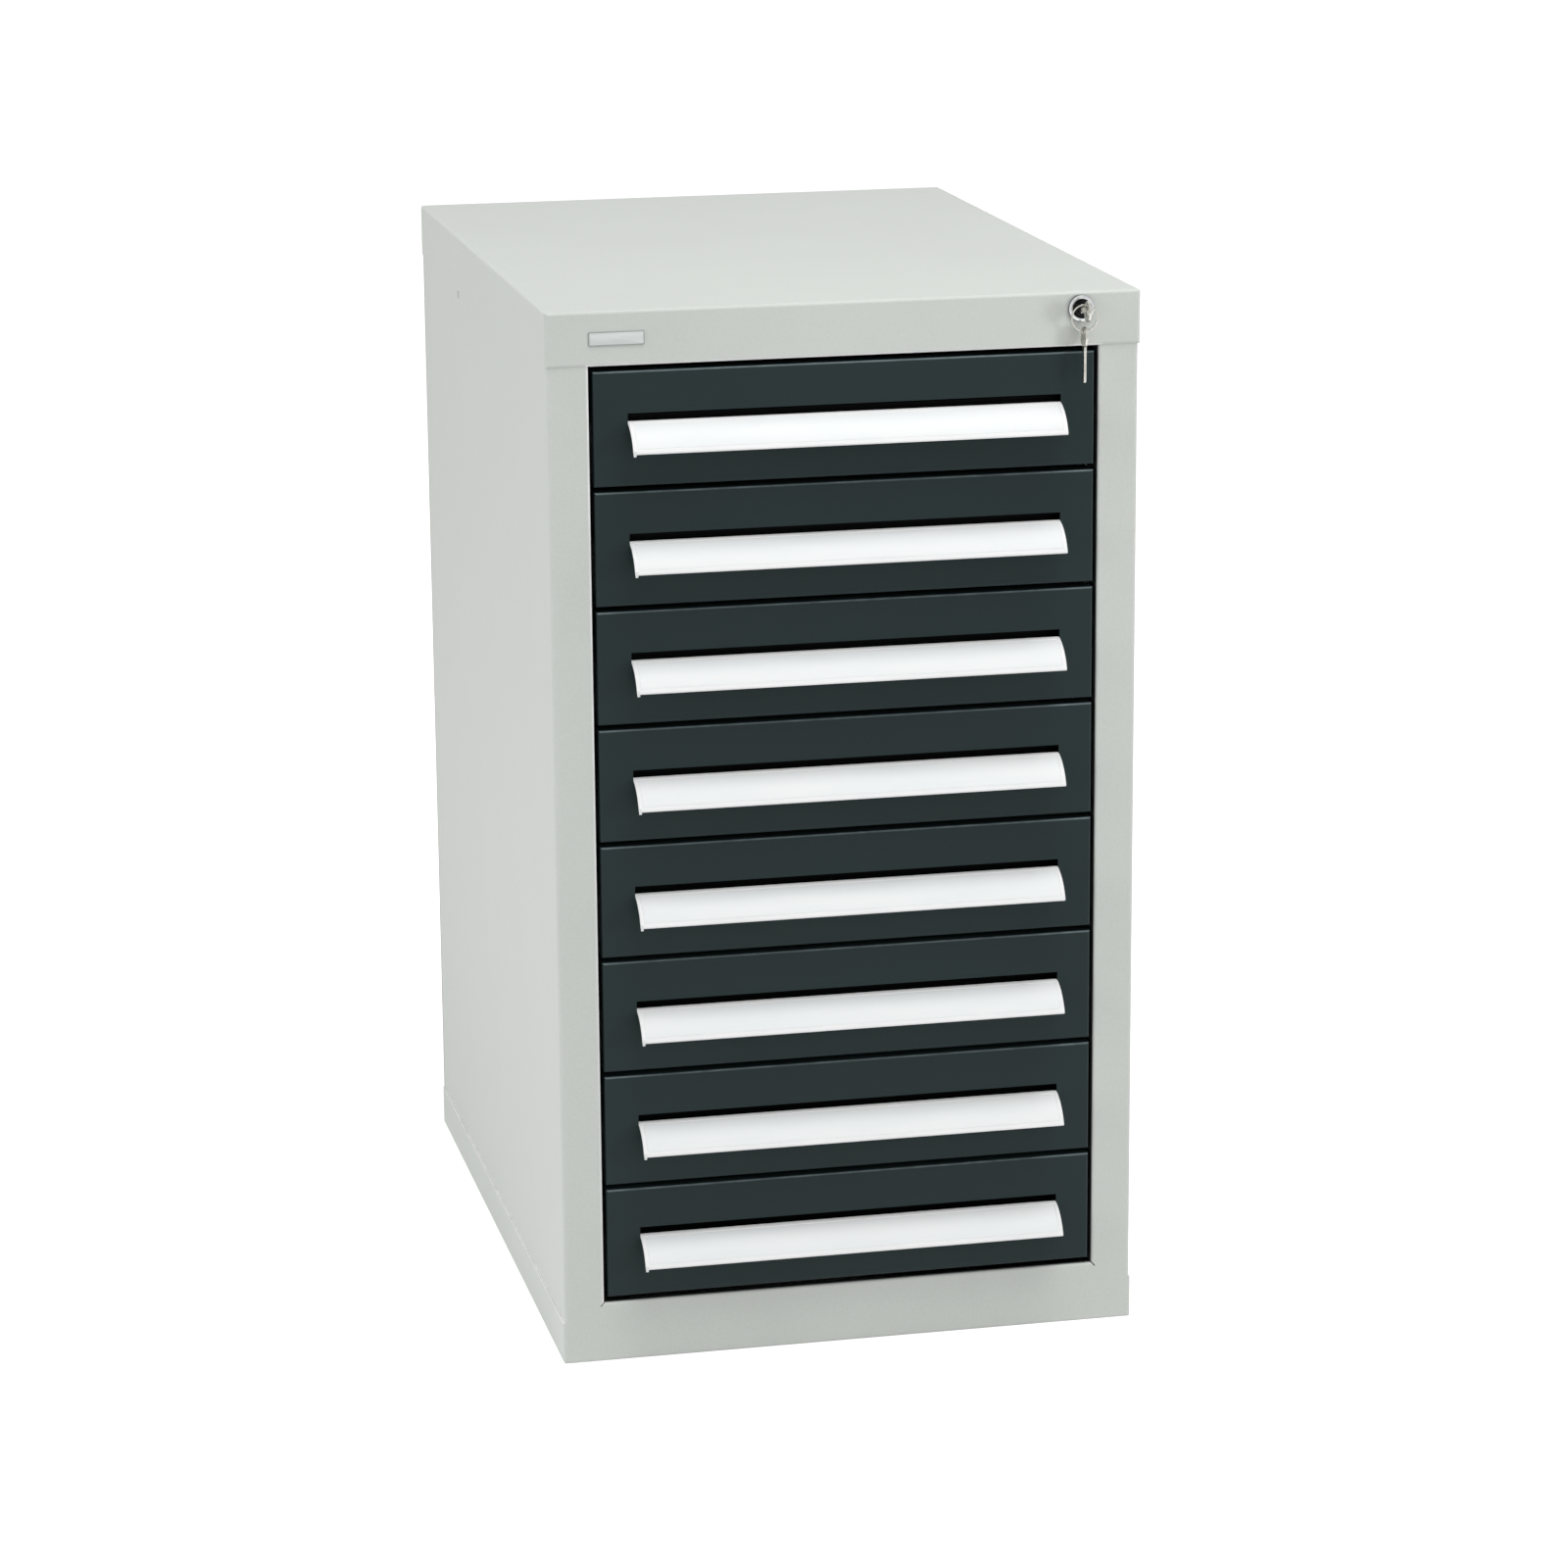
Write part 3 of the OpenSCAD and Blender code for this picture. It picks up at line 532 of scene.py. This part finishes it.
grip = {
    "length": 316.0,
    "out": 21.5,
    "height": 20.5,
    "curve": 30.5,
    "shell": 2.2,
    "faceY": -293.8,
    "rim": 2.6,  # frame left round the label field
    "fieldDepth": 0.35,
    "endRounding": 0.5,
    "clip": 12.0,
    "strip": 0.22,  # thickness of the label strip
    "tab": (2.0, 1.7),  # width and drop of the strip's pull tab
}
chord = math.hypot(grip["out"], grip["height"])
sag = math.sqrt(grip["curve"] ** 2 - (chord / 2) ** 2) / chord
gripMidY = -grip["out"] / 2 + sag * grip["height"]
gripMidZ = -grip["height"] / 2 - sag * grip["out"]
gripTopAngle = math.asin(gripMidY / grip["curve"])
lipRadius = grip["shell"] / 2
gripLipAngle = math.acos((-gripMidZ - grip["height"] + lipRadius) / (grip["curve"] - lipRadius))


def onCurve(angle, depth):
    # point in Y and Z from the middle of the grip's top edge, depth below its face
    r = grip["curve"] - depth
    return min(gripMidY - r * math.sin(angle), 0.0), gripMidZ + r * math.cos(angle)


def gripProfile(field, inset):
    rimAngle = grip["rim"] / grip["curve"]
    slope = math.radians(0.5)
    high, low = gripTopAngle + rimAngle, gripLipAngle - rimAngle
    steps = 14
    angles = [gripTopAngle, gripTopAngle + rimAngle * 0.5, high - slope]
    inField = [high + (low - high) * k / steps for k in range(steps + 1)]
    outline = [onCurve(a, inset) for a in angles]
    outline += [onCurve(a, inset + grip["fieldDepth"] * field) for a in inField]
    outline += [onCurve(a, inset) for a in (low + slope, gripLipAngle - rimAngle * 0.4, gripLipAngle)]
    # rounded lip
    cy, cz = onCurve(gripLipAngle, lipRadius)
    r = lipRadius - inset
    for k in range(1, 8):
        a = math.pi * k / 8
        outline.append((cy - r * (math.sin(gripLipAngle) * math.cos(a) + math.cos(gripLipAngle) * math.sin(a)),
                        cz + r * (math.cos(gripLipAngle) * math.cos(a) - math.sin(gripLipAngle) * math.sin(a))))
    innerTop = math.asin(gripMidY / (grip["curve"] - grip["shell"]))
    for k in range(13):
        outline.append(onCurve(gripLipAngle + (innerTop - gripLipAngle) * k / 12, grip["shell"] - inset))
    # tongue through the slot and clip behind the front
    t, foot = grip["shell"], grip["shell"] + grip["clip"]
    outline += [(1.0, -t), (1.0, 0.6 - foot), (1.6, -foot), (2.4, -foot), (3.0, 0.6 - foot), (3.0, -0.5),
                (2.5, 0.0)]
    return outline


def stripProfile():
    margin = (grip["rim"] + 0.3) / grip["curve"]
    high, low = gripTopAngle + margin, gripLipAngle - margin
    steps = 16
    angles = [high + (low - high) * k / steps for k in range(steps + 1)]
    face = grip["fieldDepth"] - grip["strip"]
    return [onCurve(a, face) for a in angles] + [onCurve(a, grip["fieldDepth"]) for a in reversed(angles)]


def makeGrip(index):
    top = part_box(f"drawer_grip_{index}")[1].z / mm
    half, e, rim = grip["length"] / 2, grip["endRounding"], grip["rim"]
    stations = [(-half, 0, e), (-half + e * 0.3, 0, e * 0.3), (-half + e, 0, 0), (-half + rim, 0, 0),
                (-half + rim + 0.35, 1, 0), (0, 1, 0), (half - rim - 0.35, 1, 0), (half - rim, 0, 0),
                (half - e, 0, 0), (half - e * 0.3, 0, e * 0.3), (half, 0, e)]
    rings = [[(x, grip["faceY"] + y, top + z) for y, z in gripProfile(field, inset * 0.6)]
             for x, field, inset in stations]
    finishMesh(f"gripShell_{index}", meshFrom(*loftRings(rings)), whiteAbs, f"drawer_{index}",
               [f"drawer_grip_{index}"])
    ends = half - rim - 0.5
    strip = [[(x, grip["faceY"] + y, top + z) for y, z in stripProfile()]
             for x in (-ends, -ends / 3, ends / 3, ends)]
    # pull tab of the strip, over the lip at its lower left corner
    width, drop = grip["tab"]
    lipY, lipZ = onCurve(gripLipAngle, 0.0)
    tab = []
    for x, small in ((-half, 0.25), (-half + 0.25, 0.0), (-half + width - 0.25, 0.0), (-half + width, 0.25)):
        y0, y1 = lipY - 0.25 + small, lipY + 0.75 - small
        z0, z1 = lipZ - drop - lipRadius + small, lipZ + 1.5
        tab.append([(x, grip["faceY"] + y, top + z) for y, z in
                    ((y0 + 0.2, z0), (y0, z0 + 0.3), (y0, z1), (y1, z1), (y1, z0 + 0.3), (y1 - 0.2, z0))])
    shape = joinShapes([loftRings(strip), loftRings(tab)])
    finishMesh(f"labelStrip_{index}", meshFrom(*shape), labelCard, f"drawer_{index}")


for index in range(1, drawerCount + 1):
    makeGrip(index)
print("grips made")


# ---- lock ----

lockSizes = {
    "x": 172.0,
    "z": 768.0,
    "face": -295.0,
    "front": -298.5,
    "collar": 9.5,
    "barrel": 8.0,
    "barrelEnd": -271.0,
    "bore": 5.56,
    "boreFront": -297.3,
    "mouth": 7.05,  # radius of the opening in the collar
    "shadeBandSetback": 0.3,  # how far the collar's side is set back for its dark band of painted shade
    "threadPitch": 1.0,
    "threadDepth": 0.45,
}


def atLock(across, up, along):
    return lockSizes["x"] + across, along, lockSizes["z"] + up


def makeLock():
    ls = lockSizes
    front, face, collar = ls["front"], ls["face"], ls["collar"]
    mouth, shadeBand, root = ls["mouth"], collar - ls["shadeBandSetback"], ls["barrel"] - ls["threadDepth"]
    profile = [(ls["bore"], ls["boreFront"] + 0.5), (mouth, ls["boreFront"] + 0.5), (mouth, front + 0.12),
               (mouth + 0.12, front), (collar - 1.35, front), (collar - 0.85, front + 0.1),
               (collar - 0.42, front + 0.36), (collar - 0.12, front + 0.8), (collar, front + 1.2),
               (collar, front + 1.5), (shadeBand, front + 1.55), (shadeBand, face), (root, face)]
    y = face + 0.6
    while y < ls["barrelEnd"] - 0.9:
        profile += [(root, y), (ls["barrel"], y + 0.3), (ls["barrel"], y + 0.5), (root, y + 0.8)]
        y += ls["threadPitch"]
    profile += [(root, ls["barrelEnd"]), (ls["bore"], ls["barrelEnd"])]
    shape = moved(turnedRings(profile, 72, closedLoop=True), atLock)
    finishMesh("lockCollar", meshFrom(*shape), chromeCast, "cabinet", ["lock_housing"], 50)
    # dark funnel that leads the key in, drawn in black nickel as painted shade in the lock's recess
    funnel = [(ls["bore"], ls["boreFront"] + 0.45), (ls["bore"], ls["boreFront"] + 0.05),
              (6.0, ls["boreFront"] - 0.3), (mouth - 0.19, front + 0.3), (mouth - 0.09, front + 0.16),
              (mouth - 0.02, front + 0.2), (mouth - 0.02, ls["boreFront"] + 0.45)]
    # and a dark band round the collar's side, painted shade
    side = [(shadeBand + 0.02, front + 1.6), (collar - 0.04, front + 1.6), (collar - 0.04, face - 0.05),
            (shadeBand + 0.02, face - 0.05)]
    shape = joinShapes([turnedRings(funnel, 64, closedLoop=True), turnedRings(side, 64, closedLoop=True)])
    shape = moved(shape, atLock)
    finishMesh("lockShadeFunnel", meshFrom(*shape), shadeBlackNickel, "cabinet", smoothAngle=50)


makeLock()
print("lock made")


# ---- keys and their ring ----

keySizes = {
    "head": 7.5,
    "hole": 2.0,
    "holeOff": 3.5,  # from the head's middle, away from the blade
    "half": 0.9,  # half the thickness
    "blade": 3.25,  # half the blade's width
    # where along the blade, and how deep it is cut there
    "cuts": [(0.0, 0.0), (4.0, 0.0), (4.7, 0.9), (6.4, 0.9), (7.6, 1.9), (9.0, 1.9), (10.2, 0.8),
             (11.8, 0.8), (13.0, 1.6), (14.4, 1.6), (15.6, 0.6), (17.0, 0.6), (18.4, 2.0), (19.8, 2.0),
             (21.0, 1.1), (22.6, 1.1), (24.0, 1.9)],
    "tipRise": 1.1,
    "insertedBlade": (15.0, 23.6),  # start and length along the key
    "spareBlade": (6.6, 25.8),
}
# split ring of flattened wire
splitRing = {
    "turns": 2,
    "steps": 72,
    "inset": 0.8,  # from the outside to the wire's middle
    "across": 0.5,  # half the wire, seen along the ring's axis
    "along": 0.36,
    "apart": 0.39,  # each turn's distance from the middle
    "start": 0.9,  # where the wire ends, in radians
}


def keyHead():
    # rim and sunk middle, as (along the key, across it, through it)
    k = keySizes
    h = k["half"]
    side = [(0.0, h - 0.35), (0.05, h), (0.20, h), (0.27, h - 0.28), (0.76, h - 0.28), (0.82, h), (0.96, h),
            (1.0, h - 0.35)]
    loop = side + [(t, -w) for t, w in reversed(side)]
    segments, count = 48, len(loop)
    points, faces = [], []
    for s in range(segments):
        a = 2 * math.pi * s / segments
        outer = (k["head"] * math.cos(a), k["head"] * math.sin(a))
        inner = (k["hole"] * math.cos(a) - k["holeOff"], k["hole"] * math.sin(a))
        points += [(inner[0] + (outer[0] - inner[0]) * t, inner[1] + (outer[1] - inner[1]) * t, w)
                   for t, w in loop]
        following = (s + 1) % segments
        for n in range(count):
            m = (n + 1) % count
            faces.append((s * count + n, s * count + m, following * count + m, following * count + n))
    return points, faces


def keyBlade(start, length):
    k = keySizes
    h, wide = k["half"], k["blade"]
    scale = length / k["cuts"][-1][0]
    rings = []
    for along, depth in k["cuts"]:
        top = wide - depth
        low = -wide + (k["tipRise"] if along == k["cuts"][-1][0] else 0.0)
        section = [(low + 0.3, h), (-0.9, h), (-0.6, h - 0.5), (0.4, h - 0.5), (0.7, h), (top - 0.3, h),
                   (top, h - 0.3), (top, 0.3 - h), (top - 0.3, -h), (low + 0.3, -h), (low, 0.3 - h),
                   (low, h - 0.3)]
        rings.append([(start + along * scale, v, w) for v, w in section])
    return loftRings(rings)


def makeKeys():
    lock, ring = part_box("cabinet_key"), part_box("key_ring")
    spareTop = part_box("spare_key")[1].z / mm
    midX = lockSizes["x"]
    headY = lock[0].y / mm + keySizes["head"]
    # round neck that carries the ring, as (radius, along the key)
    neck = [(0.0, 6.0), (1.9, 6.0), (2.5, 7.3), (2.5, 14.4), (2.3, 14.7), (2.3, 15.2), (2.5, 15.5), (2.5, 16.0),
            (0.0, 16.0)]
    neck = moved(turnedRings(neck, 32), lambda a, b, along: (along, b, a))
    shape = joinShapes([keyHead(), neck, keyBlade(*keySizes["insertedBlade"])])
    shape = moved(shape, lambda u, v, w: (midX + w, headY + u, lockSizes["z"] + v))
    finishMesh("insertedKey", meshFrom(*shape), nickelBrass, "lock_cylinder", ["cabinet_key"])
    ringY = (ring[0].y + ring[1].y) / 2 / mm
    shape = joinShapes([keyHead(), keyBlade(*keySizes["spareBlade"])])
    shape = moved(shape, lambda u, v, w: (midX + w, ringY + v, spareTop - keySizes["head"] - u))
    finishMesh("spareKeyPiece", meshFrom(*shape), nickelBrass, "hanging_key", ["spare_key"])
    sr = splitRing
    radius = (ring[1].x - ring[0].x) / 2 / mm - sr["inset"]
    midZ = (ring[0].z + ring[1].z) / 2 / mm
    wire, last = [], sr["turns"] * sr["steps"]
    for n in range(last + 1):
        a = 2 * math.pi * n / sr["steps"] + sr["start"]
        # the wire crosses from one turn to the other in the middle of its length
        side = sr["apart"] * math.tanh(3.2 * (n / last - 0.5) * 2)
        loop = []
        for k in range(10):
            b = 2 * math.pi * k / 10
            r, y = radius + sr["across"] * math.cos(b), ringY + side + sr["along"] * math.sin(b)
            loop.append((midX + r * math.cos(a), y, midZ + r * math.sin(a)))
        wire.append(loop)
    finishMesh("splitRing", meshFrom(*loftRings(wire)), nickelBrass, "ring", ["key_ring"])


makeKeys()
print("keys and ring made")


# ---- badge plate and side plugs ----

badge = {"corner": 1.0, "rimWidth": 0.5, "sunk": 0.22, "edge": 0.15, "floor": 0.12}
plug = {"proud": 0.8, "rise": 0.22, "stem": 1.95, "stemEnd": 1.2}


def roundedOutline(x0, x1, z0, z1, corner, inset, y):
    r = max(corner - inset, 0.2)
    loop = []
    for cx, cz, start in ((x1 - inset - r, z1 - inset - r, 0), (x0 + inset + r, z1 - inset - r, 90),
                          (x0 + inset + r, z0 + inset + r, 180), (x1 - inset - r, z0 + inset + r, 270)):
        for k in range(7):
            a = math.radians(start + 15 * k)
            loop.append((cx + r * math.cos(a), y, cz + r * math.sin(a)))
    return loop


def makeBadge():
    low, high = (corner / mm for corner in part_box("badge_plate"))
    back, front = high.y, low.y
    b = badge
    sides = (low.x, high.x, low.z, high.z, b["corner"])
    levels = [(0.0, back), (0.0, front + b["edge"]), (b["edge"], front), (b["rimWidth"], front),
              (b["rimWidth"] + 0.1, front + b["sunk"] + b["floor"])]
    rings = [roundedOutline(*sides, inset, y) for inset, y in levels]
    finishMesh("badgeRim", meshFrom(*loftRings(rings)), rimStyrene, "cabinet", ["badge_plate"])
    field = b["rimWidth"] + 0.12
    levels = [(field, front + b["sunk"] + b["floor"]), (field, front + b["sunk"]),
              (b["rimWidth"] + 0.3, front + b["sunk"] - 0.08)]
    rings = [roundedOutline(*sides, inset, y) for inset, y in levels]
    finishMesh("badgeField", meshFrom(*loftRings(rings)), badgeStyrene, "cabinet")


def makePlugs():
    low, high = (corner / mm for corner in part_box("side_hole_plugs"))
    out, midY, midZ = high.x, (low.y + high.y) / 2, (low.z + high.z) / 2
    radius = (high.y - low.y) / 2
    face, end = out - plug["proud"], out - plug["proud"] - plug["stemEnd"]
    dome = [(0.0, out - plug["rise"]), (0.6, out - 0.2), (0.9, out), (radius * 0.55, out - 0.03),
            (radius * 0.82, out - 0.2), (radius * 0.97, out - 0.48), (radius, face + 0.12),
            (radius - 0.08, face), (plug["stem"], face), (plug["stem"], end + 0.1), (plug["stem"] - 0.35, end),
            (0.0, end)]
    shapes = [moved(turnedRings(dome, 40), lambda a, b, along, s=s: (s * along, midY + a, midZ + b))
              for s in (-1, 1)]
    finishMesh("sidePlugs", meshFrom(*joinShapes(shapes)), greyPolyethylene, "cabinet",
               ["side_hole_plugs"], 50)


makeBadge()
makePlugs()
print("badge and plugs made")


# ---- screws and hems, grown by node trees ----

def startTree(name, inputs):
    tree = bpy.data.node_groups.new(name, "GeometryNodeTree")
    tree.is_modifier = True
    for label, kind in inputs.items():
        tree.interface.new_socket(label, in_out="INPUT", socket_type=kind)
    tree.interface.new_socket("Geometry", in_out="OUTPUT", socket_type="NodeSocketGeometry")
    return tree, addNode(tree, "NodeGroupInput").outputs


def endTree(tree, shape, finish):
    real = addNode(tree, "GeometryNodeRealizeInstances", links={"Geometry": shape})
    dressed = addNode(tree, "GeometryNodeSetMaterial", links={"Geometry": real.outputs[0], "Material": finish})
    addNode(tree, "NodeGroupOutput", links={0: dressed.outputs[0]})


def grownMesh(name, tree, settings):
    holder = bpy.data.objects.new(name, bpy.data.meshes.new(name))
    scene.collection.objects.link(holder)
    modifier = holder.modifiers.new(name, "NODES")
    modifier.node_group = tree
    for item in tree.interface.items_tree:
        if item.in_out == "INPUT":
            modifier[item.identifier] = settings[item.name]
    view = bpy.context.evaluated_depsgraph_get()
    mesh = bpy.data.meshes.new_from_object(holder.evaluated_get(view), depsgraph=view)
    bpy.data.objects.remove(holder)
    return mesh


def screwTree():
    # a row of pan-head screws with a cross recess, each turned by chance, and its mirror image
    tree, given = startTree("screwRow", {
        "First": "NodeSocketVector", "Step": "NodeSocketVector", "Count": "NodeSocketInt",
        "Facing": "NodeSocketVector", "Head Radius": "NodeSocketFloat", "Head Height": "NodeSocketFloat",
        "Recess Length": "NodeSocketFloat", "Recess Width": "NodeSocketFloat", "Seed": "NodeSocketInt",
        "Finish": "NodeSocketMaterial"})
    rimHeight = addNode(tree, "ShaderNodeMath", {1: 0.45}, {0: given["Head Height"]}, operation="MULTIPLY")
    disc = addNode(tree, "GeometryNodeMeshCylinder", {"Vertices": 28, "Side Segments": 1, "Fill Segments": 5},
                   {"Radius": given["Head Radius"], "Depth": rimHeight.outputs[0]}, fill_type="TRIANGLE_FAN")
    at = addNode(tree, "GeometryNodeInputPosition")
    axes = addNode(tree, "ShaderNodeSeparateXYZ", links={0: at.outputs[0]})
    flat = addNode(tree, "ShaderNodeCombineXYZ", links={0: axes.outputs[0], 1: axes.outputs[1]})
    reach = addNode(tree, "ShaderNodeVectorMath", links={0: flat.outputs[0]}, operation="LENGTH")
    part = addNode(tree, "ShaderNodeMath", links={0: reach.outputs["Value"], 1: given["Head Radius"]},
                   operation="DIVIDE")
    square = addNode(tree, "ShaderNodeMath", {1: 2.4}, {0: part.outputs[0]}, operation="POWER")
    fall = addNode(tree, "ShaderNodeMath", {0: 1.0}, {1: square.outputs[0]}, operation="SUBTRACT",
                   use_clamp=True)
    crown = addNode(tree, "ShaderNodeMath", {1: 0.55}, {0: given["Head Height"]}, operation="MULTIPLY")
    rise = addNode(tree, "ShaderNodeMath", links={0: fall.outputs[0], 1: crown.outputs[0]},
                   operation="MULTIPLY")
    lift = addNode(tree, "ShaderNodeCombineXYZ", links={2: rise.outputs[0]})
    above = addNode(tree, "ShaderNodeMath", {1: 0.0}, {0: axes.outputs[2]}, operation="GREATER_THAN")
    head = addNode(tree, "GeometryNodeSetPosition",
                   links={"Geometry": disc.outputs["Mesh"], "Selection": above.outputs[0],
                          "Offset": lift.outputs[0]})
    base = addNode(tree, "ShaderNodeMath", {1: 0.5}, {0: rimHeight.outputs[0]}, operation="MULTIPLY")
    baseShift = addNode(tree, "ShaderNodeCombineXYZ", links={2: base.outputs[0]})
    head = addNode(tree, "GeometryNodeTransform", links={"Geometry": head.outputs[0],
                                                         "Translation": baseShift.outputs[0]})
    recessAt = addNode(tree, "ShaderNodeCombineXYZ", links={2: given["Head Height"]})
    sunk = None
    for long, across in ((0, 1), (1, 0)):
        size = addNode(tree, "ShaderNodeCombineXYZ",
                       links={long: given["Recess Length"], across: given["Recess Width"],
                              2: given["Head Height"]})
        arm = addNode(tree, "GeometryNodeMeshCube", links={"Size": size.outputs[0]})
        arm = addNode(tree, "GeometryNodeTransform", links={"Geometry": arm.outputs[0],
                                                            "Translation": recessAt.outputs[0]})
        if sunk is None:
            sunk = addNode(tree, "GeometryNodeMeshBoolean", links={0: head.outputs[0], 1: arm.outputs[0]},
                           operation="DIFFERENCE", solver="EXACT")
        else:
            tree.links.new(arm.outputs[0], sunk.inputs[1])
    row = addNode(tree, "GeometryNodeMeshLine",
                  links={"Count": given["Count"], "Start Location": given["First"], "Offset": given["Step"]},
                  mode="OFFSET")
    placed = addNode(tree, "GeometryNodeInstanceOnPoints",
                     links={"Points": row.outputs[0], "Instance": sunk.outputs[0], "Rotation": given["Facing"]})
    chance = addNode(tree, "FunctionNodeRandomValue", {2: 0.0, 3: math.pi}, {8: given["Seed"]},
                     data_type="FLOAT")
    spin = addNode(tree, "ShaderNodeCombineXYZ", links={2: chance.outputs[1]})
    turned = addNode(tree, "GeometryNodeRotateInstances", {"Local Space": True},
                     {"Instances": placed.outputs[0], "Rotation": spin.outputs[0]})
    right = addNode(tree, "GeometryNodeRealizeInstances", links={"Geometry": turned.outputs[0]})
    left = addNode(tree, "GeometryNodeTransform", {"Scale": (-1, 1, 1)}, {"Geometry": right.outputs[0]})
    left = addNode(tree, "GeometryNodeFlipFaces", links={0: left.outputs[0]})
    both = addNode(tree, "GeometryNodeJoinGeometry", links={0: right.outputs[0]})
    tree.links.new(left.outputs[0], both.inputs[0])
    endTree(tree, both.outputs[0], given["Finish"])
    return tree


def hemTree():
    # rolled hem that follows the upper edge of a tray
    tree, given = startTree("rolledHem", {
        "Width": "NodeSocketFloat", "Depth": "NodeSocketFloat", "Middle": "NodeSocketVector",
        "Bead Radius": "NodeSocketFloat", "Corner Radius": "NodeSocketFloat", "Finish": "NodeSocketMaterial"})
    path = addNode(tree, "GeometryNodeCurvePrimitiveQuadrilateral",
                   links={"Width": given["Width"], "Height": given["Depth"]}, mode="RECTANGLE")
    path = addNode(tree, "GeometryNodeFilletCurve", {"Count": 5},
                   {"Curve": path.outputs[0], "Radius": given["Corner Radius"]}, mode="POLY")
    bead = addNode(tree, "GeometryNodeCurvePrimitiveCircle", {"Resolution": 12},
                   {"Radius": given["Bead Radius"]})
    tube = addNode(tree, "GeometryNodeCurveToMesh",
                   links={"Curve": path.outputs[0], "Profile Curve": bead.outputs[0]})
    placed = addNode(tree, "GeometryNodeTransform", links={"Geometry": tube.outputs[0],
                                                           "Translation": given["Middle"]})
    endTree(tree, placed.outputs[0], given["Finish"])
    return tree


screws = screwTree()
hems = hemTree()
# recess: length and width of the cross
backScrew = {"x": 199.8, "bottom": 52.5, "step": 167.0, "count": 5, "radius": 4.0, "height": 1.8,
             "recess": (4.2, 1.0)}
runnerScrew = {"x": 174.0, "first": -215.0, "step": 132.0, "count": 4, "radius": 3.2, "height": 1.5, "up": 23.5,
               "recess": (3.4, 0.8)}
trayEdge = {"halfWidth": 172.8, "front": -277.8, "back": 236.2, "top": 48.5, "bead": 1.0, "corner": 2.5}

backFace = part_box("back_panel")[1].y
long, wide = backScrew["recess"]
backScrews = grownMesh("backScrews", screws, {
    "First": (backScrew["x"] * mm, backFace, backScrew["bottom"] * mm), "Step": (0, 0, backScrew["step"] * mm),
    "Count": backScrew["count"], "Facing": (-math.pi / 2, 0, 0), "Head Radius": backScrew["radius"] * mm,
    "Head Height": backScrew["height"] * mm, "Recess Length": long * mm, "Recess Width": wide * mm, "Seed": 3,
    "Finish": zincSteel})
finishMesh("backScrews", backScrews, zincSteel, "cabinet", ["back_panel_screws"], 30)
for index in range(1, drawerCount + 1):
    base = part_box(f"drawer_front_{index}")[0].z
    r, t = runnerScrew, trayEdge
    long, wide = r["recess"]
    mesh = grownMesh("runnerScrews", screws, {
        "First": (r["x"] * mm, r["first"] * mm, base + r["up"] * mm), "Step": (0, r["step"] * mm, 0),
        "Count": r["count"], "Facing": (0, math.pi / 2, 0), "Head Radius": r["radius"] * mm,
        "Head Height": r["height"] * mm, "Recess Length": long * mm, "Recess Width": wide * mm,
        "Seed": 10 + index, "Finish": zincSteel})
    finishMesh(f"runnerScrews_{index}", mesh, zincSteel, f"drawer_{index}", smoothAngle=30)
    inner = 2 * t["bead"]
    mesh = grownMesh("trayHem", hems, {
        "Width": (2 * t["halfWidth"] - inner) * mm, "Depth": (t["back"] - t["front"] - inner) * mm,
        "Middle": (0, (t["back"] + t["front"]) / 2 * mm, base + (t["top"] - t["bead"]) * mm),
        "Bead Radius": t["bead"] * mm, "Corner Radius": t["corner"] * mm, "Finish": darkPowderCoat})
    finishMesh(f"trayHem_{index}", mesh, darkPowderCoat, f"drawer_{index}",
               smoothAngle=50)
print("screws and hems grown")
